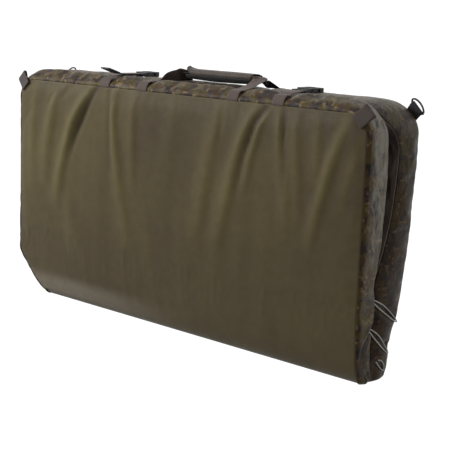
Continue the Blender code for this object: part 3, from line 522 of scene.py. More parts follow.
def panel_relief(half, folds, x, z, across):
    """How far a panel stands out from its profile."""
    up = clamped((z - 0.01) / (SEAM - 0.01))
    from_seam = SEAM - z
    from_end = (1 - abs(across)) * HALF_LENGTH
    edge = max(0.0, 1 - abs(across) ** 5) * max(0.0, 1 - up ** 9)
    crown = 0.75 + 0.25 * math.sin(2.2 * x + 0.6)
    crown += 0.45 * noise_at(x * 5, z * 3.2, 1.7 * half.side)
    height = sizes().crown * crown + RIPPLE * noise_at(x * 30, z * 4, 6.1 * half.side)
    height *= edge * clamped(z / FOLD_HEIGHT)
    height += (SEAM_PUCKER * noise_at(x * 62, z * 9, 4 + half.side)
               * math.exp(-max(from_seam, 0.0) / SEAM_PUCKER_REACH))
    height += (END_PUCKER * noise_at(x * 9, z * 58, 8 + half.side)
               * math.exp(-from_end / END_PUCKER_REACH))
    height += sizes().fold_depth * fold_relief(folds, x, z) * min(1.0, edge * 1.6)
    return height * clamped(min(from_seam / SEAM_BORDER, from_end / END_BORDER))


def bend_with_fold(piece):
    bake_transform(piece)


def set_attribute(piece, name, values):
    layer = piece.data.attributes.new(name, "FLOAT", "POINT")
    layer.data.foreach_set("value", values)


def keep_off_floor(piece):
    for vertex in piece.data.vertices:
        vertex.co.z = max(vertex.co.z, 0.0)


# Heights of the flat and the held part of the foot, and where the padding starts to swell
FOOT_FLAT = 0.002
FOOT_HELD = 0.004
LOOSE_FROM = 0.22
# How far the elastic's pinch reaches in from the ends, and the pad's back tapers there
PINCH_REACH = 0.018
BACK_TAPER = 0.004


def panel(half, folds, name):
    """Padded base panel with its part of the fold: one closed pad, swelled as cloth."""
    step = sizes().cloth_step
    profile = panel_profile(half)
    count = int(run_length(profile) / step)
    line = resampled(profile, count)
    columns = int(2 * HALF_LENGTH / step)
    outer, inner, relief, held = [], [], [], []
    for j, spot in enumerate(line):
        along = direction(line, j)
        normal = Vector((along.y, -along.x))
        low = spot - normal * PAD
        left, right = panel_ends(spot.y, EDGE_ROUND - SEAM_TUCK)
        on_foot = spot.y < FOOT_FLAT
        pinch = pinched(half, spot.y)
        loose = 0.06 + 0.8 * clamped((LOOSE_FROM - spot.y) / 0.2) ** 2
        outer.append([])
        inner.append([])
        for i in range(columns + 1):
            across = 2 * i / columns - 1
            x = left + (right - left) * i / columns
            relief.append(0.0 if on_foot else fold_relief(folds, x, spot.y))
            rise = 0.0 if on_foot else panel_relief(half, folds, x, spot.y, across)
            rise -= pinch * math.exp(-(1 - abs(across)) * HALF_LENGTH / PINCH_REACH)
            top = spot + normal * rise
            edge = math.copysign(BACK_TAPER * max(0.0, abs(across) * 8 - 7), across)
            outer[-1].append(half.point(x, top.x, max(top.y, 0.0)))
            inner[-1].append(half.point(x - edge, low.x, low.y))
            near = min(i, columns - i, count - j)
            held.append(1.0 if near < 1 or spot.y < FOOT_HELD
                        else max(loose, 0.25 if near < 2 else 0))
    uvs = cloth_uvs(outer)
    mesh_data = bmesh.new()
    shown, hidden = (grid_faces(mesh_data, rows, uvs) for rows in (outer, inner))
    rims = [((j, i), (j, i + 1)) for j in (0, count) for i in range(columns)]
    rims += [((j, i), (j + 1, i)) for i in (0, columns) for j in range(count)]
    for (j, i), (n, m) in rims:
        mesh_data.faces.new((shown[j][i], shown[n][m], hidden[n][m], hidden[j][i]))
    made = add_object(name, mesh_data, "olive_fabric")
    # Fold heights, which the olive finish turns into painted shade in the hollows and a painted
    # highlight on the crests
    set_attribute(made, "relief", relief + [0.0] * len(relief))
    swell(made, held + [1.0] * len(held), pressure=2.0, growth=0.002, cap=sizes().swell)
    keep_off_floor(made)
    subdivided(made)
    bend_with_fold(made)
    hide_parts(half.name + "_base_cover", half.name + "_base_foam")
    return made


class Station:
    """A place on the outline of a half, with its outward normal in the XZ plane."""

    def __init__(self, x, z, normal_x, normal_z):
        self.x = x + (drawn_in(z) if x < 0 else 0.0)
        self.z = z
        self.normal_x = normal_x
        self.normal_z = normal_z

    def height(self, inset):
        return self.z - self.normal_z * inset

    def at(self, half, inset, depth, share_x=1.0):
        return half.point(self.x - self.normal_x * inset * share_x, depth, self.height(inset))


def arc_stations(centre_x, centre_z, radius, start_deg, step):
    """Stations on a rounded corner, a quarter turn to the right."""
    steps = max(3, int(radius * math.radians(90) / step))
    angles = [math.radians(start_deg - 90 * i / steps) for i in range(steps + 1)]
    return [Station(centre_x + radius * math.cos(angle), centre_z + radius * math.sin(angle),
                    math.cos(angle), math.sin(angle)) for angle in angles]


def straight_stations(low, high, normal, step):
    start, end = Vector(low), Vector(high)
    steps = int((end - start).length / step)
    return [Station(*start.lerp(end, i / steps), *normal) for i in range(1, steps)]


def outline(step):
    """Stations from the left foot over the top to the right foot."""
    side = HALF_LENGTH - CORNER_RADIUS
    top = MAT_HEIGHT - CORNER_RADIUS
    foot = HALF_LENGTH - FOOT_RADIUS
    return [
        *arc_stations(-foot, FOOT_RADIUS, FOOT_RADIUS, -90, step),
        *straight_stations((-HALF_LENGTH, FOOT_RADIUS), (-HALF_LENGTH, top), (-1, 0), step),
        *arc_stations(-side, top, CORNER_RADIUS, 180, step),
        *straight_stations((-side, MAT_HEIGHT), (side, MAT_HEIGHT), (0, 1), step),
        *arc_stations(side, top, CORNER_RADIUS, 90, step),
        *straight_stations((HALF_LENGTH, top), (HALF_LENGTH, FOOT_RADIUS), (1, 0), step),
        *arc_stations(foot, FOOT_RADIUS, FOOT_RADIUS, 0, step),
    ]


WEBBING_PLACES = [WEBBING_CENTRE + sign * spread for sign in (-1, 1)
                  for spread in (HANDLE_SPREAD, STRAP_SPREAD)]


def under_webbing(x):
    return min(abs(x - spot) for spot in WEBBING_PLACES) < sizes().webbing_width * 0.6


PUFFS = {"front": 0.0075, "rear": 0.0035}
PRESSED_WIDTH = 0.024
PUFF_RUN_OUT = 0.09


def puffed(half, station):
    """How far the top stands up between the straps that press it down."""
    if station.normal_z < 0.5:
        return 0.0
    height = PUFFS[half.name]
    for spot in WEBBING_PLACES:
        height *= 1 - math.exp(-((station.x - spot) / PRESSED_WIDTH) ** 2)
    corner = min(1.0, (HALF_LENGTH - abs(station.x)) / PUFF_RUN_OUT)
    return height * corner * (1 + 0.25 * noise_at(station.x * 14, half.side, 2))


def tucked_in(station):
    """How far the rim lies inside the outline: not at all at the foot."""
    return RIM_ROUND * clamped((station.z - 0.02) / 0.05)


def cover_line(half, station):
    """From the seam on the face, round the padded edge, to the rim."""
    face = half.face(max(station.height(EDGE_ROUND), 0.0))
    if abs(station.normal_x) > 0.7:
        face -= pinched(half, station.z)
    rim = half.rim(station.z)
    top = face - EDGE_ROUND
    low = rim + RIM_ROUND
    bulge = -WALL_BULGE * 0.6 - puffed(half, station)
    tucked = tucked_in(station)
    return [Vector(spot) for spot in (
        (EDGE_ROUND + 0.0012, face + 0.0004),
        (EDGE_ROUND * 0.8, face + 0.0011),
        (EDGE_ROUND * 0.4, face - EDGE_ROUND * 0.14),
        (EDGE_ROUND * 0.1, face - EDGE_ROUND * 0.55),
        (bulge * 0.3, top - 0.003),
        (bulge, (top * 2 + low) / 3),
        (bulge, (top + low * 2) / 3),
        (bulge * 0.2, low + 0.002),
        (tucked * 0.25, rim + RIM_ROUND * 0.3),
        (tucked, rim + 0.0006),
    )]


def lining_line(half, station):
    """From the rim over the wall top and down the inner wall to the floor."""
    rim = half.rim(station.z)
    floor = half.face(max(station.height(WALL_WIDTH), 0.0)) - PAD - 0.006
    floor = max(floor, rim + 0.012)
    return [Vector((tucked_in(station), rim + 0.0006))] + [
        Vector((WALL_WIDTH * share, depth)) for share, depth in (
            (0.3, rim - 0.0004), (0.75, rim), (0.95, rim + 0.003), (1, rim + 0.009),
            (1, (rim + floor) / 2), (1, floor))]


COVER_STEPS = 12
LINING_STEPS = 16
BACK_STEPS = 4
FLOOR_POINT = COVER_STEPS + LINING_STEPS
# Depth of a gathered hollow whose painted shade reaches its full share
HOLLOW_DEPTH = 0.0055
GATHER_TOP = 0.19
GATHER_RIPPLE = 0.0022
# Unevenness of the covers on the end walls and the others, and of the linings
END_ROUGHNESS = 0.0004
COVER_ROUGHNESS = 0.0009
LINING_SLACK = 0.003
# How much narrower the print is drawn on the tops
TOP_SQUEEZE = 0.1


def gathered(half, station, depth):
    """How far the gathered fabric stands out at a place on an end wall."""
    if abs(station.normal_x) < 0.7:
        return 0.0
    y = half.side * depth
    height = 0.0
    for width, high, *line in END_FOLDS:
        away, along = nearest_on_line(line, y, station.z)
        if abs(away) < 4 * width:
            fade = math.sin(math.pi * clamped(along * 0.8 + 0.1)) ** 0.6
            height += high * fade * math.exp(-(away / width) ** 2)
    if station.z < GATHER_TOP:
        height += (GATHER_RIPPLE * noise_at(station.normal_x * 3, y * 30, station.z * 50)
                   * min(1.0, (GATHER_TOP - station.z) * 20))
    return height


def wall_row(half, station, cover):
    """One closed ring of points round a wall, from the seam over the rim and back."""
    lining = resampled(lining_line(half, station), LINING_STEPS)
    middle = Vector((WALL_WIDTH * 0.5, cover[0].y - PAD * 0.6))
    back = resampled([lining[-1], middle, cover[0]], BACK_STEPS)
    row = []
    for k, spot in enumerate(cover + lining[1:] + back[1:-1]):
        out = slack = 0.0
        if 1 < k < COVER_STEPS:
            rough = END_ROUGHNESS if abs(station.normal_x) > 0.7 else COVER_ROUGHNESS
            out = gathered(half, station, spot.y) + rough * noise_at(
                station.x * 30, station.z * 30, k * 0.3 + half.side)
        elif COVER_STEPS + 1 < k < FLOOR_POINT:
            slack = LINING_SLACK * noise_at(
                station.x * 26, station.z * 26, k * 0.55 + 3 * half.side)
        ends = END_INSET_SHARE if k < COVER_STEPS and spot.x > 0 else 1.0
        row.append(station.at(half, spot.x - out, spot.y + slack, ends))
    return row


def held_share(run, j, k):
    """How firmly a point of a wall is held while it swells."""
    near = min(abs(k - COVER_STEPS), abs(k - COVER_STEPS - 1))
    pressed = k <= COVER_STEPS and run[j].normal_z > 0.9 and under_webbing(run[j].x)
    if k in (0, COVER_STEPS) or k >= FLOOR_POINT or min(j, len(run) - 1 - j) < 2 or pressed:
        return 1.0
    return 0.5 if near < 2 else 0.06


def wall(half):
    """Padded wall round three sides: cover outside, lining over its top and inside."""
    run = outline(sizes().cloth_step * 0.9)
    covers = [resampled(smooth_route(cover_line(half, station), 5), COVER_STEPS)
              for station in run]
    rows = [wall_row(half, station, cover) for station, cover in zip(run, covers)]
    uvs = [[(u * (1 - TOP_SQUEEZE * station.normal_z ** 2), v) for u, v in line]
           for line, station in zip(cloth_uvs(rows, loop=True), run)]
    mesh_data = bmesh.new()
    grid_faces(mesh_data, rows, uvs, loop=True)
    name = half.name + "_wall_cover"
    pad = add_object(name, mesh_data, "camo_fabric")
    width = len(rows[0])
    swell(pad, [held_share(run, j, k) for j in range(len(run)) for k in range(width)],
          pressure=2.4, growth=0.016, cap=sizes().swell * 0.8)
    mesh = pad.data
    places = [vertex.co.copy() for vertex in mesh.vertices]
    bpy.data.objects.remove(pad)
    bpy.data.meshes.remove(mesh)

    def part(first, end):
        return ([places[j * width + first:j * width + end] for j in range(len(run))],
                [line[first:end] for line in uvs])

    # Painted sheen and painted shade for each point of the cover
    tones = [(painted_sheen(half, station, k), shade_at(half, station, k, cover[k].y))
             for station, cover in zip(run, covers) for k in range(COVER_STEPS + 1)]
    cover = strip(name, half, *part(0, COVER_STEPS + 1), "camo_fabric", tones)
    lining = strip(half.name + "_wall_lining", half, *part(COVER_STEPS, FLOOR_POINT + 1),
                   "brown_lining")
    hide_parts(name, *[f"{half.name}_{place}_wall_foam" for place in
                               ("left", "top", "right")])
    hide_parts(half.name + "_wall_lining")
    return cover


def painted_sheen(half, station, k):
    """Share of the pale painted sheen, a painted reflection on the walls' coated fabric: high up
    on the front's ends, and towards the right of the tops.
    """
    high = clamped(station.z / MAT_HEIGHT)
    if abs(station.normal_x) > 0.6:
        wear_and_painted_light = 0.1 + 1.1 * high if half is FRONT else 0.35 * high ** 4
    else:
        wear_and_painted_light = 0.06 + 1.1 * max(0.0, station.x / HALF_LENGTH - 0.5)
    return wear_and_painted_light * clamped((k - 2.4) / 1.6)


def shade_at(half, station, k, depth):
    """Share of the painted shade: the ends' rounded edges, the rear's ends, low down, the
    hollows, and a little on the tops.
    """
    if abs(station.normal_x) < 0.6:
        return 0.2
    edge = 0.75 if k < 3 else 0.3 if k < 4 else 0.0
    if half is REAR:
        edge = max(edge, 1.0 - 0.45 * (max(station.z, 0.0) / MAT_HEIGHT) ** 4)
    hollow = -gathered(half, station, depth) / HOLLOW_DEPTH if k > 2 else 0.0
    return max(edge, clamped((0.17 - station.z) / 0.1) * 0.6, min(hollow, 1.3))


COVER_SKIN = 0.0011
LINING_SKIN = 0.001


def strip(name, half, rows, uvs, finish, tones=()):
    """One fabric of a wall, as a closed skin."""
    mesh_data = bmesh.new()
    grid_faces(mesh_data, rows, uvs)
    made = add_object(name, mesh_data, finish, closed=False)
    for layer, values in zip(("painted_sheen", "shade"), zip(*tones)):
        set_attribute(made, layer, values)
    face_out(made, half)
    keep_off_floor(made)
    subdivided(made)
    thickened(made, COVER_SKIN)
    keep_off_floor(made)
    bend_with_fold(made)
    return made


def face_out(piece, half):
    """Turn a strip so that its faces look away from the padding inside it."""
    reach = HALF_LENGTH - WALL_WIDTH / 2
    vote = 0.0
    for face in piece.data.polygons:
        x = clamped(face.center.x, -reach, reach)
        z = min(face.center.z, MAT_HEIGHT - WALL_WIDTH / 2)
        inside = half.point(x, (half.face(max(z, 0)) + half.rim(z)) / 2, z)
        vote += face.normal.dot(face.center - inside) * face.area
    if vote < 0:
        piece.data.flip_normals()


def lining_sheet(name, rows, outwards):
    """Plain sheet through rows of points, its face turned one way."""
    mesh_data = bmesh.new()
    grid_faces(mesh_data, rows, cloth_uvs(rows))
    made = add_object(name, mesh_data, "brown_lining", closed=False)
    if made.data.polygons[0].normal.dot(Vector(outwards)) < 0:
        made.data.flip_normals()
    subdivided(made)
    thickened(made, LINING_SKIN)
    return made


LINING_STEP_SHARE = 1.6
LINING_TUCK = 0.004
FOLD_LINING_TUCK = 0.01
FLOOR_GAP = 0.0055
FOLD_GAP = 0.006
FLOOR_LOW = 0.02
FOLD_MIDDLE = 0.03
FOLD_TURNS = 10


def floor_lining(half):
    """Floor of a tray: a plain sheet over the base foam, slack in its middle."""
    step = sizes().cloth_step * LINING_STEP_SHARE
    low = FLOOR_LOW
    high = MAT_HEIGHT - WALL_WIDTH + LINING_TUCK
    reach = HALF_LENGTH - WALL_WIDTH + LINING_TUCK
    count = int((high - low) / step)
    columns = int(2 * reach / step)
    rows = []
    for j in range(count + 1):
        z = low + (high - low) * j / count
        left = drawn_in(z) - reach
        rows.append([])
        for i in range(columns + 1):
            x = left + (reach - left) * i / columns
            slack = (0.0024 * noise_at(x * 14, z * 10, 5 + half.side)
                     + 0.001 * noise_at(x * 40, z * 34, 9 + half.side))
            edge = min(1.0, min(i, columns - i, count - j) / 3)
            rows[-1].append(half.point(x, half.face(z) - PAD - FLOOR_GAP + slack * edge, z))
    made = lining_sheet(half.name + "_floor_lining", rows, (0, -half.side, 0))
    bend_with_fold(made)
    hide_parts(half.name + "_floor_lining")


def fold_inside():
    """Lining inside the fold, under the tray floors; the frame's lining and foam there are
    hidden.
    """
    low_y = -FRONT.face(FOLD_MIDDLE) + PAD + FOLD_GAP
    high_y = REAR.face(FOLD_MIDDLE) - PAD - FOLD_GAP
    reach = HALF_LENGTH - WALL_WIDTH + FOLD_LINING_TUCK
    columns = int(2 * (HALF_LENGTH - WALL_WIDTH) / (sizes().cloth_step * LINING_STEP_SHARE))
    rows = []
    for j in range(FOLD_TURNS + 1):
        y = low_y + (high_y - low_y) * (j / FOLD_TURNS)
        z = PAD + 0.004 + 0.01 * abs(2 * j / FOLD_TURNS - 1) ** 4
        left = drawn_in(z) - reach
        xs = [left + (reach - left) * i / columns for i in range(columns + 1)]
        rows.append([Vector((x, y, z + 0.0015 * noise_at(x * 16, y * 20, 3))) for x in xs])
    made = lining_sheet("fold_lining", rows, (0, 0, 1))
    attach(made, "fold")
    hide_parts("fold_lining", "fold_foam")


CORD_SIDES = 10


def cord(name, route, radius):
    """Round cord along a route, with its length and turn as UV, and closed ends."""
    rows = []
    across = (route[1] - route[0]).normalized().orthogonal().normalized()
    for i, centre in enumerate(route):
        ahead = direction(route, i)
        across = (across - ahead * across.dot(ahead)).normalized()
        up = ahead.cross(across)
        rows.append([centre + (across * math.cos(angle) + up * math.sin(angle)) * radius
                     for angle in (2 * math.pi * k / CORD_SIDES for k in range(CORD_SIDES))])
    mesh_data = bmesh.new()
    made = grid_faces(mesh_data, rows, cloth_uvs(rows, loop=True), loop=True)
    mesh_data.faces.new(made[0][::-1])
    mesh_data.faces.new(made[-1])
    return add_object(name, mesh_data, "elastic_cord")


WEBBING_RIBS = 6
WEBBING_LIFT = 0.0006
ACROSS_MAT = Vector((1, 0, 0))
# Half thickness of the webbing in its ribs and between them, as shares of the whole
WEBBING_RIB_RISE = 0.61
WEBBING_GROOVE_RISE = 0.39


def ribbon(name, points, finish, sides=None, steps=6, thickness=None, under=None,
           inner=1):
    """Ribbed webbing along a route, with the direction of its width at each point."""
    thickness = thickness or sizes().webbing
    route = smooth_route(points, steps)
    widths = smooth_route(sides or [ACROSS_MAT] * len(points), steps)
    count = WEBBING_RIBS * 2
    rows = []
    up_before = Vector()
    for i, centre in enumerate(route):
        along = direction(route, i)
        side = (widths[i] - along * widths[i].dot(along)).normalized()
        up = along.cross(side).normalized()
        if up.dot(up_before) < 0:
            up = -up
        up_before = up
        rows.append([])
        for face in (1, -1):
            for k in range(count + 1):
                across = (k / count - 0.5) * face
                rise = thickness * (WEBBING_RIB_RISE if k % 2 else WEBBING_GROOVE_RISE)
                rise *= 1 - 0.75 * max(0.0, abs(across) * 20 - 9)
                rows[-1].append(
                    centre + side * sizes().webbing_width * across + up * rise * face)
    mesh_data = looped_sheet(rows)
    if under:
        ring = 2 * count + 2
        mesh_data.faces.ensure_lookup_table()
        for face in mesh_data.faces[:(len(rows) - 1) * ring]:
            face.material_index = int((face.index % ring < count) == (inner > 0))
    made = add_object(name, mesh_data, finish)
    if under:
        made.data.materials.append(FINISHES[under])
    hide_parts(name)
    return made


def webbing_lift():
    """Height of the webbing's middle over the fabric that it lies on."""
    return sizes().webbing / 2 + WEBBING_LIFT


def top_level():
    return MAT_HEIGHT + WALL_BULGE + webbing_lift()


def over_edge(half, x):
    """Route of webbing from the seam over the padded top edge."""
    face = half.face(SEAM)
    lift = webbing_lift()
    radius = EDGE_ROUND + lift
    return [
        half.point(x, face - 0.001 + lift * 0.2, SEAM - 0.0022),
        half.point(x, face + lift, SEAM + 0.0012),
        *[half.point(x, face - EDGE_ROUND + radius * math.cos(angle),
                     SEAM + (radius + WALL_BULGE) * math.sin(angle))
          for angle in map(math.radians, (25, 50, 75))],
    ]


# How far the grip hangs below the middle of its box in the frame
GRIP_DROP = 0.008
GRIP_CENTRE = Vector(((GRIP_LOW.x + GRIP_HIGH.x) / 2, (GRIP_LOW.y + GRIP_FLAP_HIGH.y) / 2,
                      (GRIP_HIGH.z + GRIP_FLAP_LOW.z) / 2 - GRIP_DROP))
GRIP_LENGTH = GRIP_HIGH.x - GRIP_LOW.x
GRIP_WIDTH = 0.04
GRIP_HEIGHT = 0.016
GRIP_WALL = 0.0025
GRIP_STEPS = 40
GRIP_TURNS = 20
HANDLE_STACK = 0.003
LEG_END_SHARE = 0.52
LEG_END_APART = 0.002
# Shares of the way from the padded edge to the grip's end: across, inwards, up, twist, and
# how far the webbing stands on its edge
LEG_SHARES = {
    ("front", 1): ((0.15, 0, 0.04, 0, 0), (0.4, 0, 0.2, 0, 0), (0.64, 0.02, 0.5, 0, 0),
                   (0.86, 0.22, 0.8, 0.35, 0), (1, 1, 1, 1, 0)),
    ("rear", 1): ((0.15, 0, 0.02, 0, 0), (0.35, 0.02, 0.06, 0, 0),
                  (0.58, 0.12, 0.25, 0.15, 0.3), (0.8, 0.48, 0.7, 0.6, 0.6), (1, 1, 1, 1, 0)),
    ("front", -1): ((0.15, 0, 0.02, 0, 0), (0.4, 0, 0.04, 0.05, 0.2),
                    (0.66, 0.12, 0.28, 0.35, 1.2), (0.86, 0.48, 0.52, 0.6, 2.2),
                    (1, 1, 0.9, 1, 0.5)),
    ("rear", -1): ((0.15, 0, 0.02, 0, 0), (0.36, 0.06, 0.12, 0.2, 0.3),
                   (0.58, 0.28, 0.5, 0.55, 0.7), (0.8, 0.62, 0.9, 0.85, 0.3), (1, 1, 1, 1, 0)),
}


def handle(half):
    """Carry handle: two ends sewn to the seam, joined through the grip."""
    name = half.name + "_handle"
    high = GRIP_CENTRE.z - half.side * HANDLE_STACK / 2
    legs = []
    for sign in (1, -1):
        points = over_edge(half, WEBBING_CENTRE + sign * HANDLE_SPREAD)
        sides = [ACROSS_MAT] * len(points)
        start = points[-1].copy()
        start.z = top_level()
        end = (GRIP_CENTRE.x + sign * GRIP_LENGTH * LEG_END_SHARE,
               GRIP_CENTRE.y + half.side * LEG_END_APART, high)
        for across, inwards, up, twist, on_edge in LEG_SHARES[half.name, sign]:
            points.append(Vector([near + (far - near) * share for near, far, share in
                                  zip(start, end, (inwards, across, up))]))
            turn = math.radians(90) * twist
            sides.append(Vector((math.cos(turn), -half.side * sign * math.sin(turn), on_edge)))
        legs.append((points, sides))
    (points, sides), (far_points, far_sides) = legs
    made = ribbon(
        name, [*points, Vector((GRIP_CENTRE.x, GRIP_CENTRE.y, high)), *far_points[::-1]],
        "webbing",
        sides=[*sides, Vector((0, -half.side, 0)), *[-side for side in far_sides[::-1]]],
        under="black_webbing", inner=-half.side)
    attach(made, name)


def closure_strap(place):
    """From the front seam, over the top of both halves to the plug."""
    low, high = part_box(f"{place}_male_buckle")
    x = (low.x + high.x) / 2
    level = top_level()
    middle = (low.z + high.z) / 2
    made = ribbon(f"{place}_closure_strap", over_edge(FRONT, x) + [
        Vector((x, EDGE_ROUND * 1.5 - FRONT_THICKNESS, level)),
        Vector((x, (low.y - FRONT_THICKNESS) / 2, (level + middle) / 2 + 0.001)),
        Vector((x, low.y, middle))], "webbing")
    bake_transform(made)


SOCKET_BAR = 0.0044


def anchor_strap(place):
    """From the rear seam to the socket, and up through its slot."""
    low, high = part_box(f"{place}_female_buckle")
    x = (low.x + high.x) / 2
    slot_y = high.y - SOCKET_BAR
    points = [point for point in over_edge(REAR, x) if point.y > slot_y + SOCKET_BAR]
    below = min(top_level(), points[-1].z + EDGE_ROUND / 2)
    made = ribbon(f"{place}_anchor_strap", points + [
        Vector((x, slot_y + 0.0035, below)), Vector((x, slot_y + 0.0006, top_level())),
        Vector((x, slot_y, (low.z + high.z) / 2))], "webbing")
    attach(made, "rear_half")


TAIL_END_THICKNESS = 0.0032


def strap_tail():
    """Loose end of the left strap, turned back over it, with its stiff black end."""
    low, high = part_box("left_strap_tail")
    tip_low, tip_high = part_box("left_tail_end")
    x = (low.x + high.x) / 2
    length = high.y - low.y
    level = high.z - sizes().webbing / 2
    down = (level + tip_low.z) / 2
    end = Vector((x, low.y + 0.012, tip_low.z + 0.005))
    tail = ribbon("left_strap_tail", [
        Vector((x, high.y, level)), Vector((x, high.y - length * 0.3, level)),
        Vector((x, high.y - length * 0.7, down + 0.0015)), end], "webbing")
    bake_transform(tail)
    way = Vector((0, tip_low.y - tip_high.y + 0.002, tip_high.z - tip_low.z - 0.0055))
    tip = ribbon("left_tail_end", [end, end + way / 2, end + way], "black_webbing",
                 thickness=TAIL_END_THICKNESS)
    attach(tip, "left_strap")


TAB_LENGTH = 0.032
TAB_BASE = 0.003
TAB_END = 0.0076
TAB_LEAN = 0.009
TAB_OVERLAP = 0.006
TAB_SEAT = 0.0047
TAB_FULLNESS = 0.0008
# Shares of the tab's length against shares of its growth in thickness
TAB_SHARES = ((0, 0), (0.3, 0.12), (0.5, 0.35), (0.72, 0.85), (0.88, 1), (0.965, 0.7))


def corner_tab(half, sign):
    """Webbing folded back on itself, sewn to the seam's corner."""
    outwards = Vector((sign, 0, 1)).normalized()
    start = Vector((sign * (HALF_LENGTH - CORNER_RADIUS), 0, MAT_HEIGHT - CORNER_RADIUS))
    start += outwards * (CORNER_RADIUS - EDGE_ROUND - TAB_OVERLAP)
    start.y = half.side * (half.face(start.z) + TAB_SEAT)
    along = (outwards * TAB_LENGTH - Vector((0, half.side * TAB_LEAN, 0))).normalized()
    across = Vector((outwards.z, 0, -outwards.x))
    up = along.cross(across)
    length = TAB_LENGTH + TAB_OVERLAP
    layer = sizes().webbing
    points = [start + along * (length - layer / 2)]
    for share, growth in TAB_SHARES[::-1]:
        rise = up * (TAB_BASE + (TAB_END - TAB_BASE) * growth + TAB_FULLNESS - layer) / 2
        centre = start + along * length * share
        points = [centre + rise, *points, centre - rise]
    name = f"{half.name}_{'left' if sign < 0 else 'right'}_tab"
    finish, slot = (("black_webbing", "black_webbing") if half is REAR
                    else ("tab_webbing", "brown_webbing"))
    made = ribbon(name, points, finish, sides=[across] * len(points), steps=3)
    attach(made, half.name + "_half")


def squared(value):
    """A sine or cosine that makes a squarer ring."""
    return math.copysign(abs(value) ** 0.75, value)


def grip_sheet(name, start_deg, end_deg, finish, sag, curl):
    """Padded sheet round the grip, from one angle to another, with a wavy edge, uneven from use.
    """
    rows = []
    for i in range(GRIP_STEPS + 1):
        along = i / GRIP_STEPS
        x = GRIP_LOW.x + GRIP_LENGTH * along
        open_end = curl * max(0.0, 1 - along * 9) ** 1.5
        wave = noise_at(x * 22, start_deg * 0.1, 2)
        turn_deg = end_deg - 120 * open_end + 5 * wave - start_deg
        ring = []
        inner = []
        for k in range(GRIP_TURNS + 1):
            turned = k / GRIP_TURNS
            angle = math.radians(start_deg + turn_deg * turned)
            c = math.cos(angle)
            s = math.sin(angle)
            grow = 1 + 0.5 * open_end * turned - 0.09 * abs(2 * along - 1) ** 8
            drop = sag * max(0.0, -s) * (0.7 + 0.3 * math.sin(math.pi * along)) + 0.0005 * wave
            for line, wall in ((ring, 0.0), (inner, GRIP_WALL)):
                line.append(GRIP_CENTRE + Vector((
                    x - GRIP_CENTRE.x, (GRIP_WIDTH / 2 * grow - wall) * squared(c),
                    (GRIP_HEIGHT / 2 * grow - wall) * squared(s) - drop + 0.004 * open_end)))
        rows.append(ring + inner[::-1])
    piece = add_object(name, looped_sheet(rows), finish)
    subdivided(piece)
    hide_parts(name)
    return piece


def end_surface(skins, sign, y, z):
    """X of the end walls' fabric at a height and depth."""
    start = Vector((sign * SKIN_SEARCH_FROM, y, z))
    spots = [skin.ray_cast(start, Vector((-sign, 0, 0)))[0] for skin in skins]
    reach = [sign * spot.x for spot in spots if spot and sign * spot.x > SKIN_DEEPEST]
    return sign * max(reach) if reach else None


# Each loop's ends and its turn, as shares of the rear half's thickness and the fold's height
CORD_LOOP_SHARES = (((-0.09, 2.17), (0.63, 1.5)), ((-0.155, 1.43), (0.38, 0.74)),
                    ((0.1, 0.56), (0.33, 0.27)))
CORD_BODIES = (("rear_half",), ("fold", "rear_half"), ("fold",))
CORD_SPREAD = 0.01
# Shares of the way to the turn and of half the spread, out and back
CORD_WAY = (((0.0, 0.6), (0.35, 1.3), (0.75, 1.0)), ((0.75, -1.0), (0.35, -0.9), (0.0, -0.6)))


CORD_SUNK_SHARE = 0.1
CORD_END_SUNK = 0.003
SKIN_SEARCH_FROM = 0.7
SKIN_DEEPEST = HALF_LENGTH - DRAWN_LENGTH - 0.03


def window(values, i, reach):
    return values[max(i - reach, 0):i + reach + 1]


def cord_loop(skins, place, number):
    """Elastic cord drawn out of the slit over the gathered fabric, and back."""
    sign = -1 if place == "left" else 1
    start, turn = (Vector((y * REAR_THICKNESS, z * FOLD_HEIGHT))
                   for y, z in CORD_LOOP_SHARES[number])
    along = (turn - start).normalized()
    apart = Vector((-along.y, along.x)) * CORD_SPREAD / 2
    tip = turn + along * CORD_SPREAD * 0.1
    out, back = ([start.lerp(turn, way) + apart * side for way, side in shares]
                 for shares in CORD_WAY)
    route = smooth_route([*out, tip + apart * 0.4, tip - apart * 0.4, *back], 6)
    reach = [end_surface(skins, sign, y, z) for y, z in route]
    shown = [value for value in reach if value is not None]
    if not shown:
        raise RuntimeError("the elastic found no wall to lie on")
    reach = [value if value is not None else shown[0] for value in reach]
    taut = [sign * max(sign * value for value in window(reach, i, 3)) for i in range(len(reach))]
    near = [window(taut, i, 2) for i in range(len(taut))]
    radius = sizes().cord / 2
    points = [Vector((sum(xs) / len(xs) + sign * radius * (1 - CORD_SUNK_SHARE), y, z))
              for xs, (y, z) in zip(near, route)]
    for end in (points[0], points[-1]):
        end.x -= sign * CORD_END_SUNK
    name = f"{place}_elastic_loop_{number + 1}"
    made = cord(name, points, radius)
    bodies = CORD_BODIES[number]
    if len(bodies) == 1:
        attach(made, bodies[0])
    else:
        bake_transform(made)
    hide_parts(name)


def skin_of(piece):
    return BVHTree.FromPolygons([vertex.co.copy() for vertex in piece.data.vertices],
                                [tuple(face.vertices) for face in piece.data.polygons])


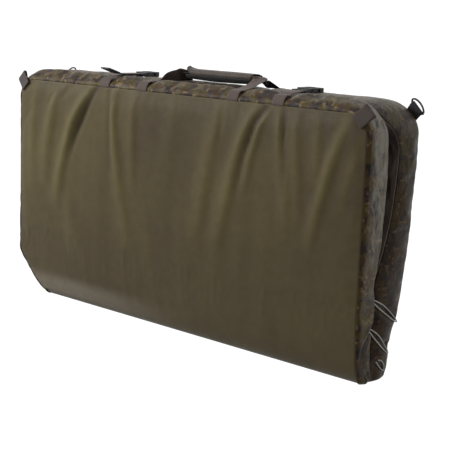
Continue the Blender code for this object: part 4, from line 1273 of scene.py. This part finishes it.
class Nodes:
    """A node tree in the making."""

    def __init__(self, tree):
        self.tree = tree

    def plug(self, value, socket):
        if isinstance(value, bpy.types.NodeSocket):
            self.tree.links.new(value, socket)
        else:
            socket.default_value = value

    def add(self, kind, inputs=(), **settings):
        node = self.tree.nodes.new("ShaderNode" + kind)
        for name, value in settings.items():
            setattr(node, name, value)
        for place, value in inputs:
            self.plug(value, node.inputs[place])
        return node.outputs

    def math(self, operation, first, second=0.5, third=0.0):
        return self.add("Math", ((0, first), (1, second), (2, third)), operation=operation)[0]

    def times(self, first, second):
        return self.math("MULTIPLY", first, second)

    def linear(self, value, factor, offset=0.0):
        return self.math("MULTIPLY_ADD", value, factor, offset)

    def least(self, first, second):
        return self.math("MINIMUM", first, second)

    def most(self, first, second):
        return self.math("MAXIMUM", first, second)

    def vector(self, operation, place, by):
        return self.add("VectorMath", ((0, place), (1, by)), operation=operation)[0]

    def noise(self, place, scale, detail=2.0, roughness=0.5):
        return self.add("TexNoise", (("Vector", place), ("Scale", scale), ("Detail", detail),
                                     ("Roughness", roughness)))["Fac"]

    def attribute(self, name):
        return self.add("Attribute", attribute_name=name)["Fac"]

    def ramp(self, value, stops, mode="LINEAR"):
        colour = self.add("ValToRGB", (("Fac", value),))["Color"]
        ramp = colour.node.color_ramp
        ramp.interpolation = mode
        while len(ramp.elements) < len(stops):
            ramp.elements.new(0.5)
        for element, (at, tone) in zip(ramp.elements, stops):
            element.position = at
            element.color = (*tone, 1.0)
        return colour

    def mix(self, amount, first, second, mode="MIX"):
        tones = [tone if isinstance(tone, bpy.types.NodeSocket) else (*tone, 1.0)
                 for tone in (first, second)]
        return self.add("Mix", ((0, amount), (6, tones[0]), (7, tones[1])), data_type="RGBA",
                        blend_type=mode)[2]

    def smooth_step(self, value, start, end):
        """0 at one value to 1 at the other."""
        return self.add("MapRange", (("Value", value), ("From Min", start), ("From Max", end)),
                        interpolation_type="SMOOTHSTEP")[0]

    def wave(self, value, length, operation="SINE"):
        return self.math(operation, self.times(value, 2 * math.pi / length))

    def seen(self):
        """1 for the camera's rays and for reflections."""
        rays = self.add("LightPath")
        return self.most(rays["Is Camera Ray"], rays["Is Glossy Ray"])


class Finish(Nodes):
    """A material in the making, its shader set plainly."""

    def __init__(self, name, roughness, specular):
        made = bpy.data.materials.new("look_" + name)
        FINISHES[name] = made
        made.use_nodes = True
        super().__init__(made.node_tree)
        self.shader = self.tree.nodes["Principled BSDF"]
        self.set({"Roughness": roughness, "Specular IOR Level": specular})
        places = self.add("TexCoord")
        self.place = places["Object"]
        self.cloth = places["UV"]

    def set(self, values):
        """Set or link the shader's sockets by their names."""
        for name, value in values.items():
            self.plug(value, self.shader.inputs[name])

    def parts(self, place):
        return self.add("SeparateXYZ", ((0, place),))

    def weave(self, pitch):
        """Plain weave: threads that cross over and under each other, as a height."""
        x, y, _ = self.parts(self.cloth)
        return self.linear(self.times(self.wave(x, pitch), self.wave(y, pitch)), 0.5, 0.5)

    def bumps(self, *heights):
        """Bumps one on another: (height, strength, distance)."""
        normal = None
        for height, strength, distance in heights:
            inputs = [("Height", height), ("Strength", strength), ("Distance", distance)]
            if normal is not None:
                inputs.append(("Normal", normal))
            normal = self.add("Bump", inputs)["Normal"]
        self.set({"Normal": normal})

    def mottled(self, scale, detail, roughness, stops):
        return self.ramp(self.noise(self.place, scale, detail, roughness), stops)

    def rough(self, scale, detail, factor, offset):
        """Roughness that varies over the surface."""
        value = self.noise(self.place, scale, detail, 0.6)
        self.set({"Roughness": self.linear(value, factor, offset)})


def dimmed(colour, share):
    return tuple(value * share for value in colour)


FINE_WEAVE = 0.0011


def olive_fabric(look):
    on = Finish("olive_fabric", 0.46, 0.1)
    x, _, z = on.parts(on.place)
    tone = on.mottled(3.2, 3.0, 0.55, ((0.3, look.olive_dark), (0.62, look.olive)))
    # Painted shade: the panels darker towards the bottom and towards the right
    low_right_shade = on.math("ADD", on.linear(z, -1.4, 0.52), on.linear(x, 0.55))
    wear_and_painted_light = on.times(on.most(low_right_shade, 0.0), 0.85)
    tone = on.mix(on.least(wear_and_painted_light, 0.8), tone, look.olive_dark)
    # Painted shade in the fold hollows, from the fold heights
    relief = on.attribute("relief")
    hollow_shade = on.least(on.most(on.times(relief, -1.3), 0.0), 0.85)
    tone = on.mix(hollow_shade, tone, dimmed(look.olive_dark, 0.6))
    # Painted highlight on the crests of the folds, from the fold heights
    tone = on.mix(on.least(on.linear(relief, 0.75), 0.6), tone, look.olive_crest_highlight)
    # Painted reflection of the white floor: a pale band just above the foot, strongest on the
    # left of the panels
    floor_reflection_band = on.times(on.smooth_step(z, 0.072, 0.036), on.smooth_step(z, 0.004, 0.022))
    floor_reflection_band = on.times(floor_reflection_band, on.smooth_step(x, 0.1, -0.32))
    tone = on.mix(on.times(floor_reflection_band, 0.72), tone, look.olive_floor_reflection)
    streaks = on.mottled(46.0, 4.0, 0.6, ((0.35, (0.25, 0.25, 0.25)), (0.68, (0.85, 0.85, 0.8))))
    on.set({"Base Color": on.mix(0.1, tone, streaks, "OVERLAY"), "Sheen Weight": 0.02,
            "Sheen Roughness": 0.4})
    on.rough(9.0, 4.0, 0.22, 0.36)
    on.bumps((on.noise(on.place, 55.0, 3.0, 0.55), 0.2, 0.003),
             (on.weave(FINE_WEAVE), 0.25, 0.0003))


CAMO_PIXEL = 0.0046


def camo_fabric(look):
    """Small square camouflage, printed on a smooth coated weave."""
    on = Finish("camo_fabric", 0.42, 0.07)
    snapped = on.vector("SNAP", on.cloth, (CAMO_PIXEL,) * 3)
    dither = on.add("TexWhiteNoise", (("Vector", snapped),))["Value"]
    ground = on.linear(dither, 0.1, on.noise(snapped, 24.0, 1.0))
    tone = on.ramp(ground, (
        (0.0, look.camo_brown), (0.49, look.camo_base), (0.66, look.camo_brown)), "CONSTANT")
    for shift, texture, spread, patches in (
            ((0.31, 0.74, 0.2), (44.0, 2.0, 0.6), 0.09,
             ((0.585, 0.95, look.camo_dark), (0.7, 0.9, look.camo_black))),
            ((0.83, 0.12, 0.9), (70.0, 1.5, 0.5), 0.08, ((0.665, 0.75, look.camo_tan),))):
        field = on.noise(on.vector("ADD", snapped, shift), *texture)
        field = on.linear(dither, spread, field)
        for start, cover, colour in patches:
            mask = on.ramp(field, ((0.0, (0, 0, 0)), (start, (cover,) * 3)), "CONSTANT")
            tone = on.mix(mask, tone, colour)
    broad = on.mottled(6.0, 3.0, 0.6, ((0.3, (0.3, 0.28, 0.27)), (0.7, (0.7, 0.68, 0.62))))
    tone = on.mix(0.25, tone, broad, "OVERLAY")
    # Painted shade: the print darkened by the share of painted shade that the wall gives each
    # point
    darker = on.mix(1.0, tone, (0.34, 0.28, 0.21), "MULTIPLY")
    tone = on.mix(on.attribute("shade"), tone, darker)
    # Painted sheen: a pale, streaked painted reflection, by the share that the wall gives each
    # point
    streaked = on.noise(on.vector("MULTIPLY", on.place, (1.0, 1.0, 0.28)), 110.0, 6.0, 0.75)
    painted_sheen_mix = on.times(on.attribute("painted_sheen"), on.most(on.linear(streaked, 3.4, -1.15), 0.12))
    tone = on.mix(on.least(painted_sheen_mix, 0.8), tone, look.camo_painted_sheen)
    on.set({"Base Color": tone, "Sheen Weight": 0.03})
    on.rough(22.0, 4.0, 0.25, 0.28)
    on.bumps((on.noise(on.place, 60.0, 4.0, 0.6), 0.35, 0.003),
             (on.weave(FINE_WEAVE), 0.25, 0.0003))


def brown_lining(look):
    on = Finish("brown_lining", 0.5, 0.35)
    on.set({"Base Color": on.mottled(8.0, 3.0, 0.6, (
        (0.3, dimmed(look.lining, 0.72)), (0.7, look.lining)))})
    on.rough(30.0, 3.0, 0.2, 0.4)
    on.bumps((on.noise(on.place, 45.0, 4.0, 0.6), 0.3, 0.0025),
             (on.weave(0.0012), 0.2, 0.0003))


def webbing_material(name, colour, lighter):
    """Ribbed polypropylene webbing: cross yarns between the ribs, a little fuzz."""
    on = Finish(name, 0.72, 0.3)
    x, y, _ = on.parts(on.cloth)
    rib = sizes().webbing_width / WEBBING_RIBS
    yarn = on.linear(on.times(on.wave(x, rib), on.wave(y, 0.0022)), 0.5, 0.5)
    tone = on.ramp(yarn, ((0.15, dimmed(colour, 0.55)), (0.75, colour)))
    ribs = on.linear(on.wave(x, rib, "COSINE"), 0.5, 0.5)
    tone = on.mix(on.times(ribs, 0.8), tone, dimmed(colour, 0.35))
    wear_and_painted_light = on.noise(on.place, 70.0, 4.0, 0.6)
    on.set({"Base Color": on.mix(on.times(wear_and_painted_light, 0.35), tone, lighter), "Sheen Weight": 0.1,
            "Sheen Roughness": 0.5})
    on.bumps((yarn, 0.6, 0.0005), (on.noise(on.place, 900.0, 2.0, 0.6), 0.25, 0.0002))


def wrap_material(name, colour):
    """Soft knitted fabric of the grip."""
    on = Finish(name, 0.6, 0.3)
    on.set({"Base Color": on.mottled(60.0, 4.0, 0.6, (
        (0.3, dimmed(colour, 0.6)), (0.7, colour))), "Sheen Weight": 0.08})
    on.bumps((on.noise(on.place, 130.0, 3.0, 0.6), 0.3, 0.0015),
             (on.weave(0.0009), 0.35, 0.0003))


BRAID_STRANDS = 4
BRAID_GIRTH = math.pi * 0.0028


def elastic_material(look):
    on = Finish("elastic_cord", 0.6, 0.35)
    x, y, _ = on.parts(on.cloth)
    turn = on.times(x, 2 * math.pi * BRAID_STRANDS / BRAID_GIRTH)
    reach = on.times(y, 2 * math.pi / 0.003)
    strands = [on.math("SINE", on.math(way, turn, reach)) for way in ("ADD", "SUBTRACT")]
    braid = on.linear(on.most(*strands), 0.5, 0.5)
    on.set({"Base Color": on.ramp(braid, (
        (0.2, dimmed(look.elastic, 0.6)), (0.8, look.elastic)))})
    on.bumps((braid, 0.5, 0.0003))


def plastic_material(look):
    on = Finish("moulded_plastic", 0.34, 0.3)
    wear_and_painted_light = on.noise(on.place, 180.0, 5.0, 0.65)
    on.set({"Base Color": on.ramp(wear_and_painted_light, ((0.45, look.black), (0.85, dimmed(look.black, 2.2)))),
            "Roughness": on.linear(wear_and_painted_light, 0.25, 0.36)})
    on.bumps((on.noise(on.place, 1500.0, 2.0, 0.6), 0.15, 0.0002))


def ring_material(look):
    on = Finish("ring_wire", 0.32, 0.5)
    wear_and_painted_light = on.noise(on.place, 240.0, 5.0, 0.7)
    on.set({"Base Color": on.ramp(wear_and_painted_light, ((0.55, look.black), (0.82, (0.1, 0.1, 0.11)))),
            "Roughness": on.linear(wear_and_painted_light, 0.3, 0.18), "Metallic": 0.35, "Coat Weight": 0.4})


def dress(node, finish):
    """Give a node of the frame its material."""
    for slot in bpy.data.objects[node].material_slots:
        slot.material = FINISHES[finish]


# Shares of the socket's length, and half of each rib's share of its width
SOCKET_RIBS = ((0.3, 0.2), (0.42, 0.26), (0.54, 0.26), (0.66, 0.2))
SOCKET_RIB_LENGTH = 0.002
SOCKET_RIB_HEIGHT = 0.0016
SOCKET_RIB_ROUND = 0.0006
SOCKET_RIB_LIFT = 0.0003


def socket_ribs(place):
    """Raised ribs across the top of a socket, as one piece."""
    low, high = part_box(f"{place}_female_buckle")
    made = []
    for along, reach in SOCKET_RIBS:
        deselect()
        bpy.ops.mesh.primitive_cube_add(size=1, location=(
            (low.x + high.x) / 2, low.y + (high.y - low.y) * along, high.z + SOCKET_RIB_LIFT))
        rib = bpy.context.object
        rib.scale = (2 * reach * (high.x - low.x), SOCKET_RIB_LENGTH, SOCKET_RIB_HEIGHT)
        bpy.ops.object.transform_apply(location=True, rotation=True, scale=True)
        modified(rib, "BEVEL", width=SOCKET_RIB_ROUND, segments=3)
        made.append(rib)
    for rib in made:
        rib.select_set(True)
    bpy.context.view_layer.objects.active = made[0]
    bpy.ops.object.join()
    ribs = bpy.context.object
    ribs.name = f"look_{place}_buckle_ribs"
    ribs.data.materials.clear()
    ribs.data.materials.append(FINISHES["moulded_plastic"])
    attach(ribs, "rear_half")


# The photograph's camera
CAMERA_PLACE = Vector((1.6826, -1.7706, 0.7003))
CAMERA_YAW = 0.72323
CAMERA_PITCH = 0.18706
CAMERA_ROLL = 0.03783
CAMERA_LENS_MM = 89.6
SENSOR_MM = 36.0


def camera():
    data = bpy.data.cameras.new("camera")
    data.lens = CAMERA_LENS_MM
    data.sensor_width = SENSOR_MM
    made = bpy.data.objects.new("camera", data)
    cy, sy = math.cos(CAMERA_YAW), math.sin(CAMERA_YAW)
    cp, sp = math.cos(CAMERA_PITCH), math.sin(CAMERA_PITCH)
    c, s = math.cos(CAMERA_ROLL), math.sin(CAMERA_ROLL)
    ahead = Vector((-sy * cp, cy * cp, -sp))
    right = Vector((cy, sy, 0.0))
    up = right.cross(ahead)
    turn = Matrix((right * c + up * s, up * c - right * s, -ahead)).transposed()
    made.matrix_world = Matrix.Translation(CAMERA_PLACE) @ turn.to_4x4()
    bpy.context.scene.collection.objects.link(made)
    bpy.context.scene.camera = made


# Each area light: name, place, what it points at, size and power in watts
LIGHTS = (
    ("key", (-2.5, -2.1, 1.9), (0, 0, 0.25), 1.0, 116),
    ("side", (2.4, -0.6, 1.5), (0.5, 0, 0.4), 1.2, 11),
    ("top", (0.2, 0.6, 2.8), (0, 0, 0.4), 1.4, 1.5),
)


def area_light(name, place, aim, size, watts):
    data = bpy.data.lights.new(name, "AREA")
    data.energy = watts
    data.size = size
    made = bpy.data.objects.new(name, data)
    made.location = place
    made.rotation_mode = "QUATERNION"
    made.rotation_quaternion = (Vector(aim) - Vector(place)).to_track_quat("-Z", "Y")
    bpy.context.scene.collection.objects.link(made)


FLOOR_GREY = 0.4
FLOOR_GLOW = 1.25
FLOOR_GLOW_SHARE = 0.86
WORLD_LIGHT = 0.34
WORLD_SEEN_EXTRA = 0.68


def white_surface():
    """White floor that takes a faint shadow, and shows white in glossy surfaces."""
    on = Finish("floor", 0.9, 0.1)
    on.set({"Base Color": (*(FLOOR_GREY,) * 3, 1)})
    glow = on.add("Emission", (("Color", (1, 1, 1, 1)), ("Strength", FLOOR_GLOW)))
    mixed = on.add("MixShader", ((0, on.times(on.seen(), FLOOR_GLOW_SHARE)),
                                 (1, on.shader.outputs[0]), (2, glow[0])))
    on.plug(mixed[0], on.tree.nodes["Material Output"].inputs["Surface"])
    made = FINISHES.pop("floor")
    made.name = "floor"
    return made


class MAT_OT_finishes(bpy.types.Operator):
    """Make the fabrics, webbing, plastic and wire finishes."""

    bl_idname = "mat.finishes"
    bl_label = "Finishes"

    def execute(self, context):
        look = context.scene.mat_colours
        for make in (olive_fabric, camo_fabric, brown_lining, elastic_material,
                     plastic_material, ring_material):
            make(look)
        webbing_material("webbing", look.webbing, (0.15, 0.11, 0.092))
        webbing_material("tab_webbing", look.tab, (0.075, 0.055, 0.048))
        webbing_material("black_webbing", look.black, (0.035, 0.033, 0.032))
        wrap_material("grip_fabric", (0.066, 0.047, 0.036))
        wrap_material("grip_lining", look.black)
        return {"FINISHED"}


class MAT_OT_panels(bpy.types.Operator):
    """Make both padded base panels with the fold between them."""

    bl_idname = "mat.panels"
    bl_label = "Base panels and fold"

    def execute(self, context):
        front = panel(FRONT, FRONT_PANEL_FOLDS, "front_base_panel")
        panel(REAR, REAR_PANEL_FOLDS, "rear_base_panel")
        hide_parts("fold_cover")
        return {"FINISHED"}


class MAT_OT_walls(bpy.types.Operator):
    """Make the padded walls and their linings."""

    bl_idname = "mat.walls"
    bl_label = "Padded walls"

    def execute(self, context):
        covers = [wall(half) for half in (FRONT, REAR)]
        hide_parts("left_fold_gusset", "right_fold_gusset")
        WALL_COVERS.extend(cover.name for cover in covers)
        return {"FINISHED"}


class MAT_OT_tray(bpy.types.Operator):
    """Make the tray floors and the lining inside the fold."""

    bl_idname = "mat.tray"
    bl_label = "Tray linings"

    def execute(self, context):
        floor_lining(FRONT)
        floor_lining(REAR)
        fold_inside()
        return {"FINISHED"}


class MAT_OT_elastic(bpy.types.Operator):
    """Lay the elastic cord loops over the gathered end walls."""

    bl_idname = "mat.elastic"
    bl_label = "Elastic loops"

    def execute(self, context):
        skins = [skin_of(bpy.data.objects[name]) for name in WALL_COVERS]
        for place in ("left", "right"):
            for number in range(len(CORD_LOOP_SHARES)):
                cord_loop(skins, place, number)
        return {"FINISHED"}


class MAT_OT_handles(bpy.types.Operator):
    """Make both carry handles."""

    bl_idname = "mat.handles"
    bl_label = "Carry handles"

    def execute(self, context):
        handle(FRONT)
        handle(REAR)
        return {"FINISHED"}


class MAT_OT_straps(bpy.types.Operator):
    """Make the closure straps, their anchors and the loose end."""

    bl_idname = "mat.straps"
    bl_label = "Closure straps"

    def execute(self, context):
        for place in ("left", "right"):
            closure_strap(place)
            anchor_strap(place)
        strap_tail()
        return {"FINISHED"}


class MAT_OT_tabs(bpy.types.Operator):
    """Make the four corner tabs."""

    bl_idname = "mat.tabs"
    bl_label = "Corner tabs"

    def execute(self, context):
        for half in (FRONT, REAR):
            for sign in (-1, 1):
                corner_tab(half, sign)
        return {"FINISHED"}


class MAT_OT_grip(bpy.types.Operator):
    """Make the grip's wrap and its closing flap."""

    bl_idname = "mat.grip"
    bl_label = "Grip"

    def execute(self, context):
        wrap = grip_sheet("grip_wrap", 80, 212, "grip_fabric", 0.0, 1.0)
        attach(wrap, "front_handle")
        flap = grip_sheet("grip_flap", 437, 190, "grip_lining", 0.009, 0.0)
        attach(flap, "grip_flap")
        return {"FINISHED"}


class MAT_OT_fittings(bpy.types.Operator):
    """Finish the buckles and rings, and add the ribs on the sockets."""

    bl_idname = "mat.fittings"
    bl_label = "Buckles and rings"

    def execute(self, context):
        for place in ("left", "right"):
            dress(f"{place}_male_buckle", "moulded_plastic")
            dress(f"{place}_female_buckle", "moulded_plastic")
            dress(f"rear_{place}_d_ring", "ring_wire")
            socket_ribs(place)
        return {"FINISHED"}


class MAT_OT_stage(bpy.types.Operator):
    """Make the floor, the lights, the world and the camera."""

    bl_idname = "mat.stage"
    bl_label = "Studio"

    def execute(self, context):
        scene = context.scene
        deselect()
        bpy.ops.mesh.primitive_plane_add(size=30, location=(0, 0, -0.0008))
        floor = context.object
        floor.name = "floor"
        floor.data.materials.append(white_surface())
        scene.world = bpy.data.worlds.new("studio")
        scene.world.use_nodes = True
        around = Nodes(scene.world.node_tree)
        background = around.tree.nodes["Background"].inputs
        around.plug(around.linear(around.seen(), WORLD_SEEN_EXTRA, WORLD_LIGHT),
                    background["Strength"])
        background["Color"].default_value = (1, 1, 1, 1)
        for light in LIGHTS:
            area_light(*light)
        scene.view_settings.view_transform = "Standard"
        camera()
        return {"FINISHED"}


OPERATORS = (MAT_OT_finishes, MAT_OT_panels, MAT_OT_walls, MAT_OT_tray, MAT_OT_elastic,
             MAT_OT_handles, MAT_OT_straps, MAT_OT_tabs, MAT_OT_grip, MAT_OT_fittings,
             MAT_OT_stage)


class MAT_PT_panel(bpy.types.Panel):
    """The mat's pieces and sizes."""

    bl_label = "Unhooking mat"
    bl_idname = "MAT_PT_panel"
    bl_space_type = "VIEW_3D"
    bl_region_type = "UI"
    bl_category = "Mat"

    def draw(self, context):
        for group in (context.scene.mat_sizes, context.scene.mat_colours):
            for name in group.__annotations__:
                self.layout.prop(group, name)
        for operator in OPERATORS:
            self.layout.operator(operator.bl_idname)


CLASSES = (MAT_PG_sizes, MAT_PG_colours, *OPERATORS, MAT_PT_panel)


def register():
    for item in CLASSES:
        bpy.utils.register_class(item)
    bpy.types.Scene.mat_sizes = PointerProperty(type=MAT_PG_sizes)
    bpy.types.Scene.mat_colours = PointerProperty(type=MAT_PG_colours)


def unregister():
    del bpy.types.Scene.mat_colours
    del bpy.types.Scene.mat_sizes
    for item in reversed(CLASSES):
        bpy.utils.unregister_class(item)


def main():
    register()
    bpy.ops.mat.finishes()
    bpy.ops.mat.panels()
    bpy.ops.mat.walls()
    bpy.ops.mat.tray()
    bpy.ops.mat.elastic()
    bpy.ops.mat.handles()
    bpy.ops.mat.straps()
    bpy.ops.mat.tabs()
    bpy.ops.mat.grip()
    bpy.ops.mat.fittings()
    bpy.ops.mat.stage()


if __name__ == "__main__":
    main()
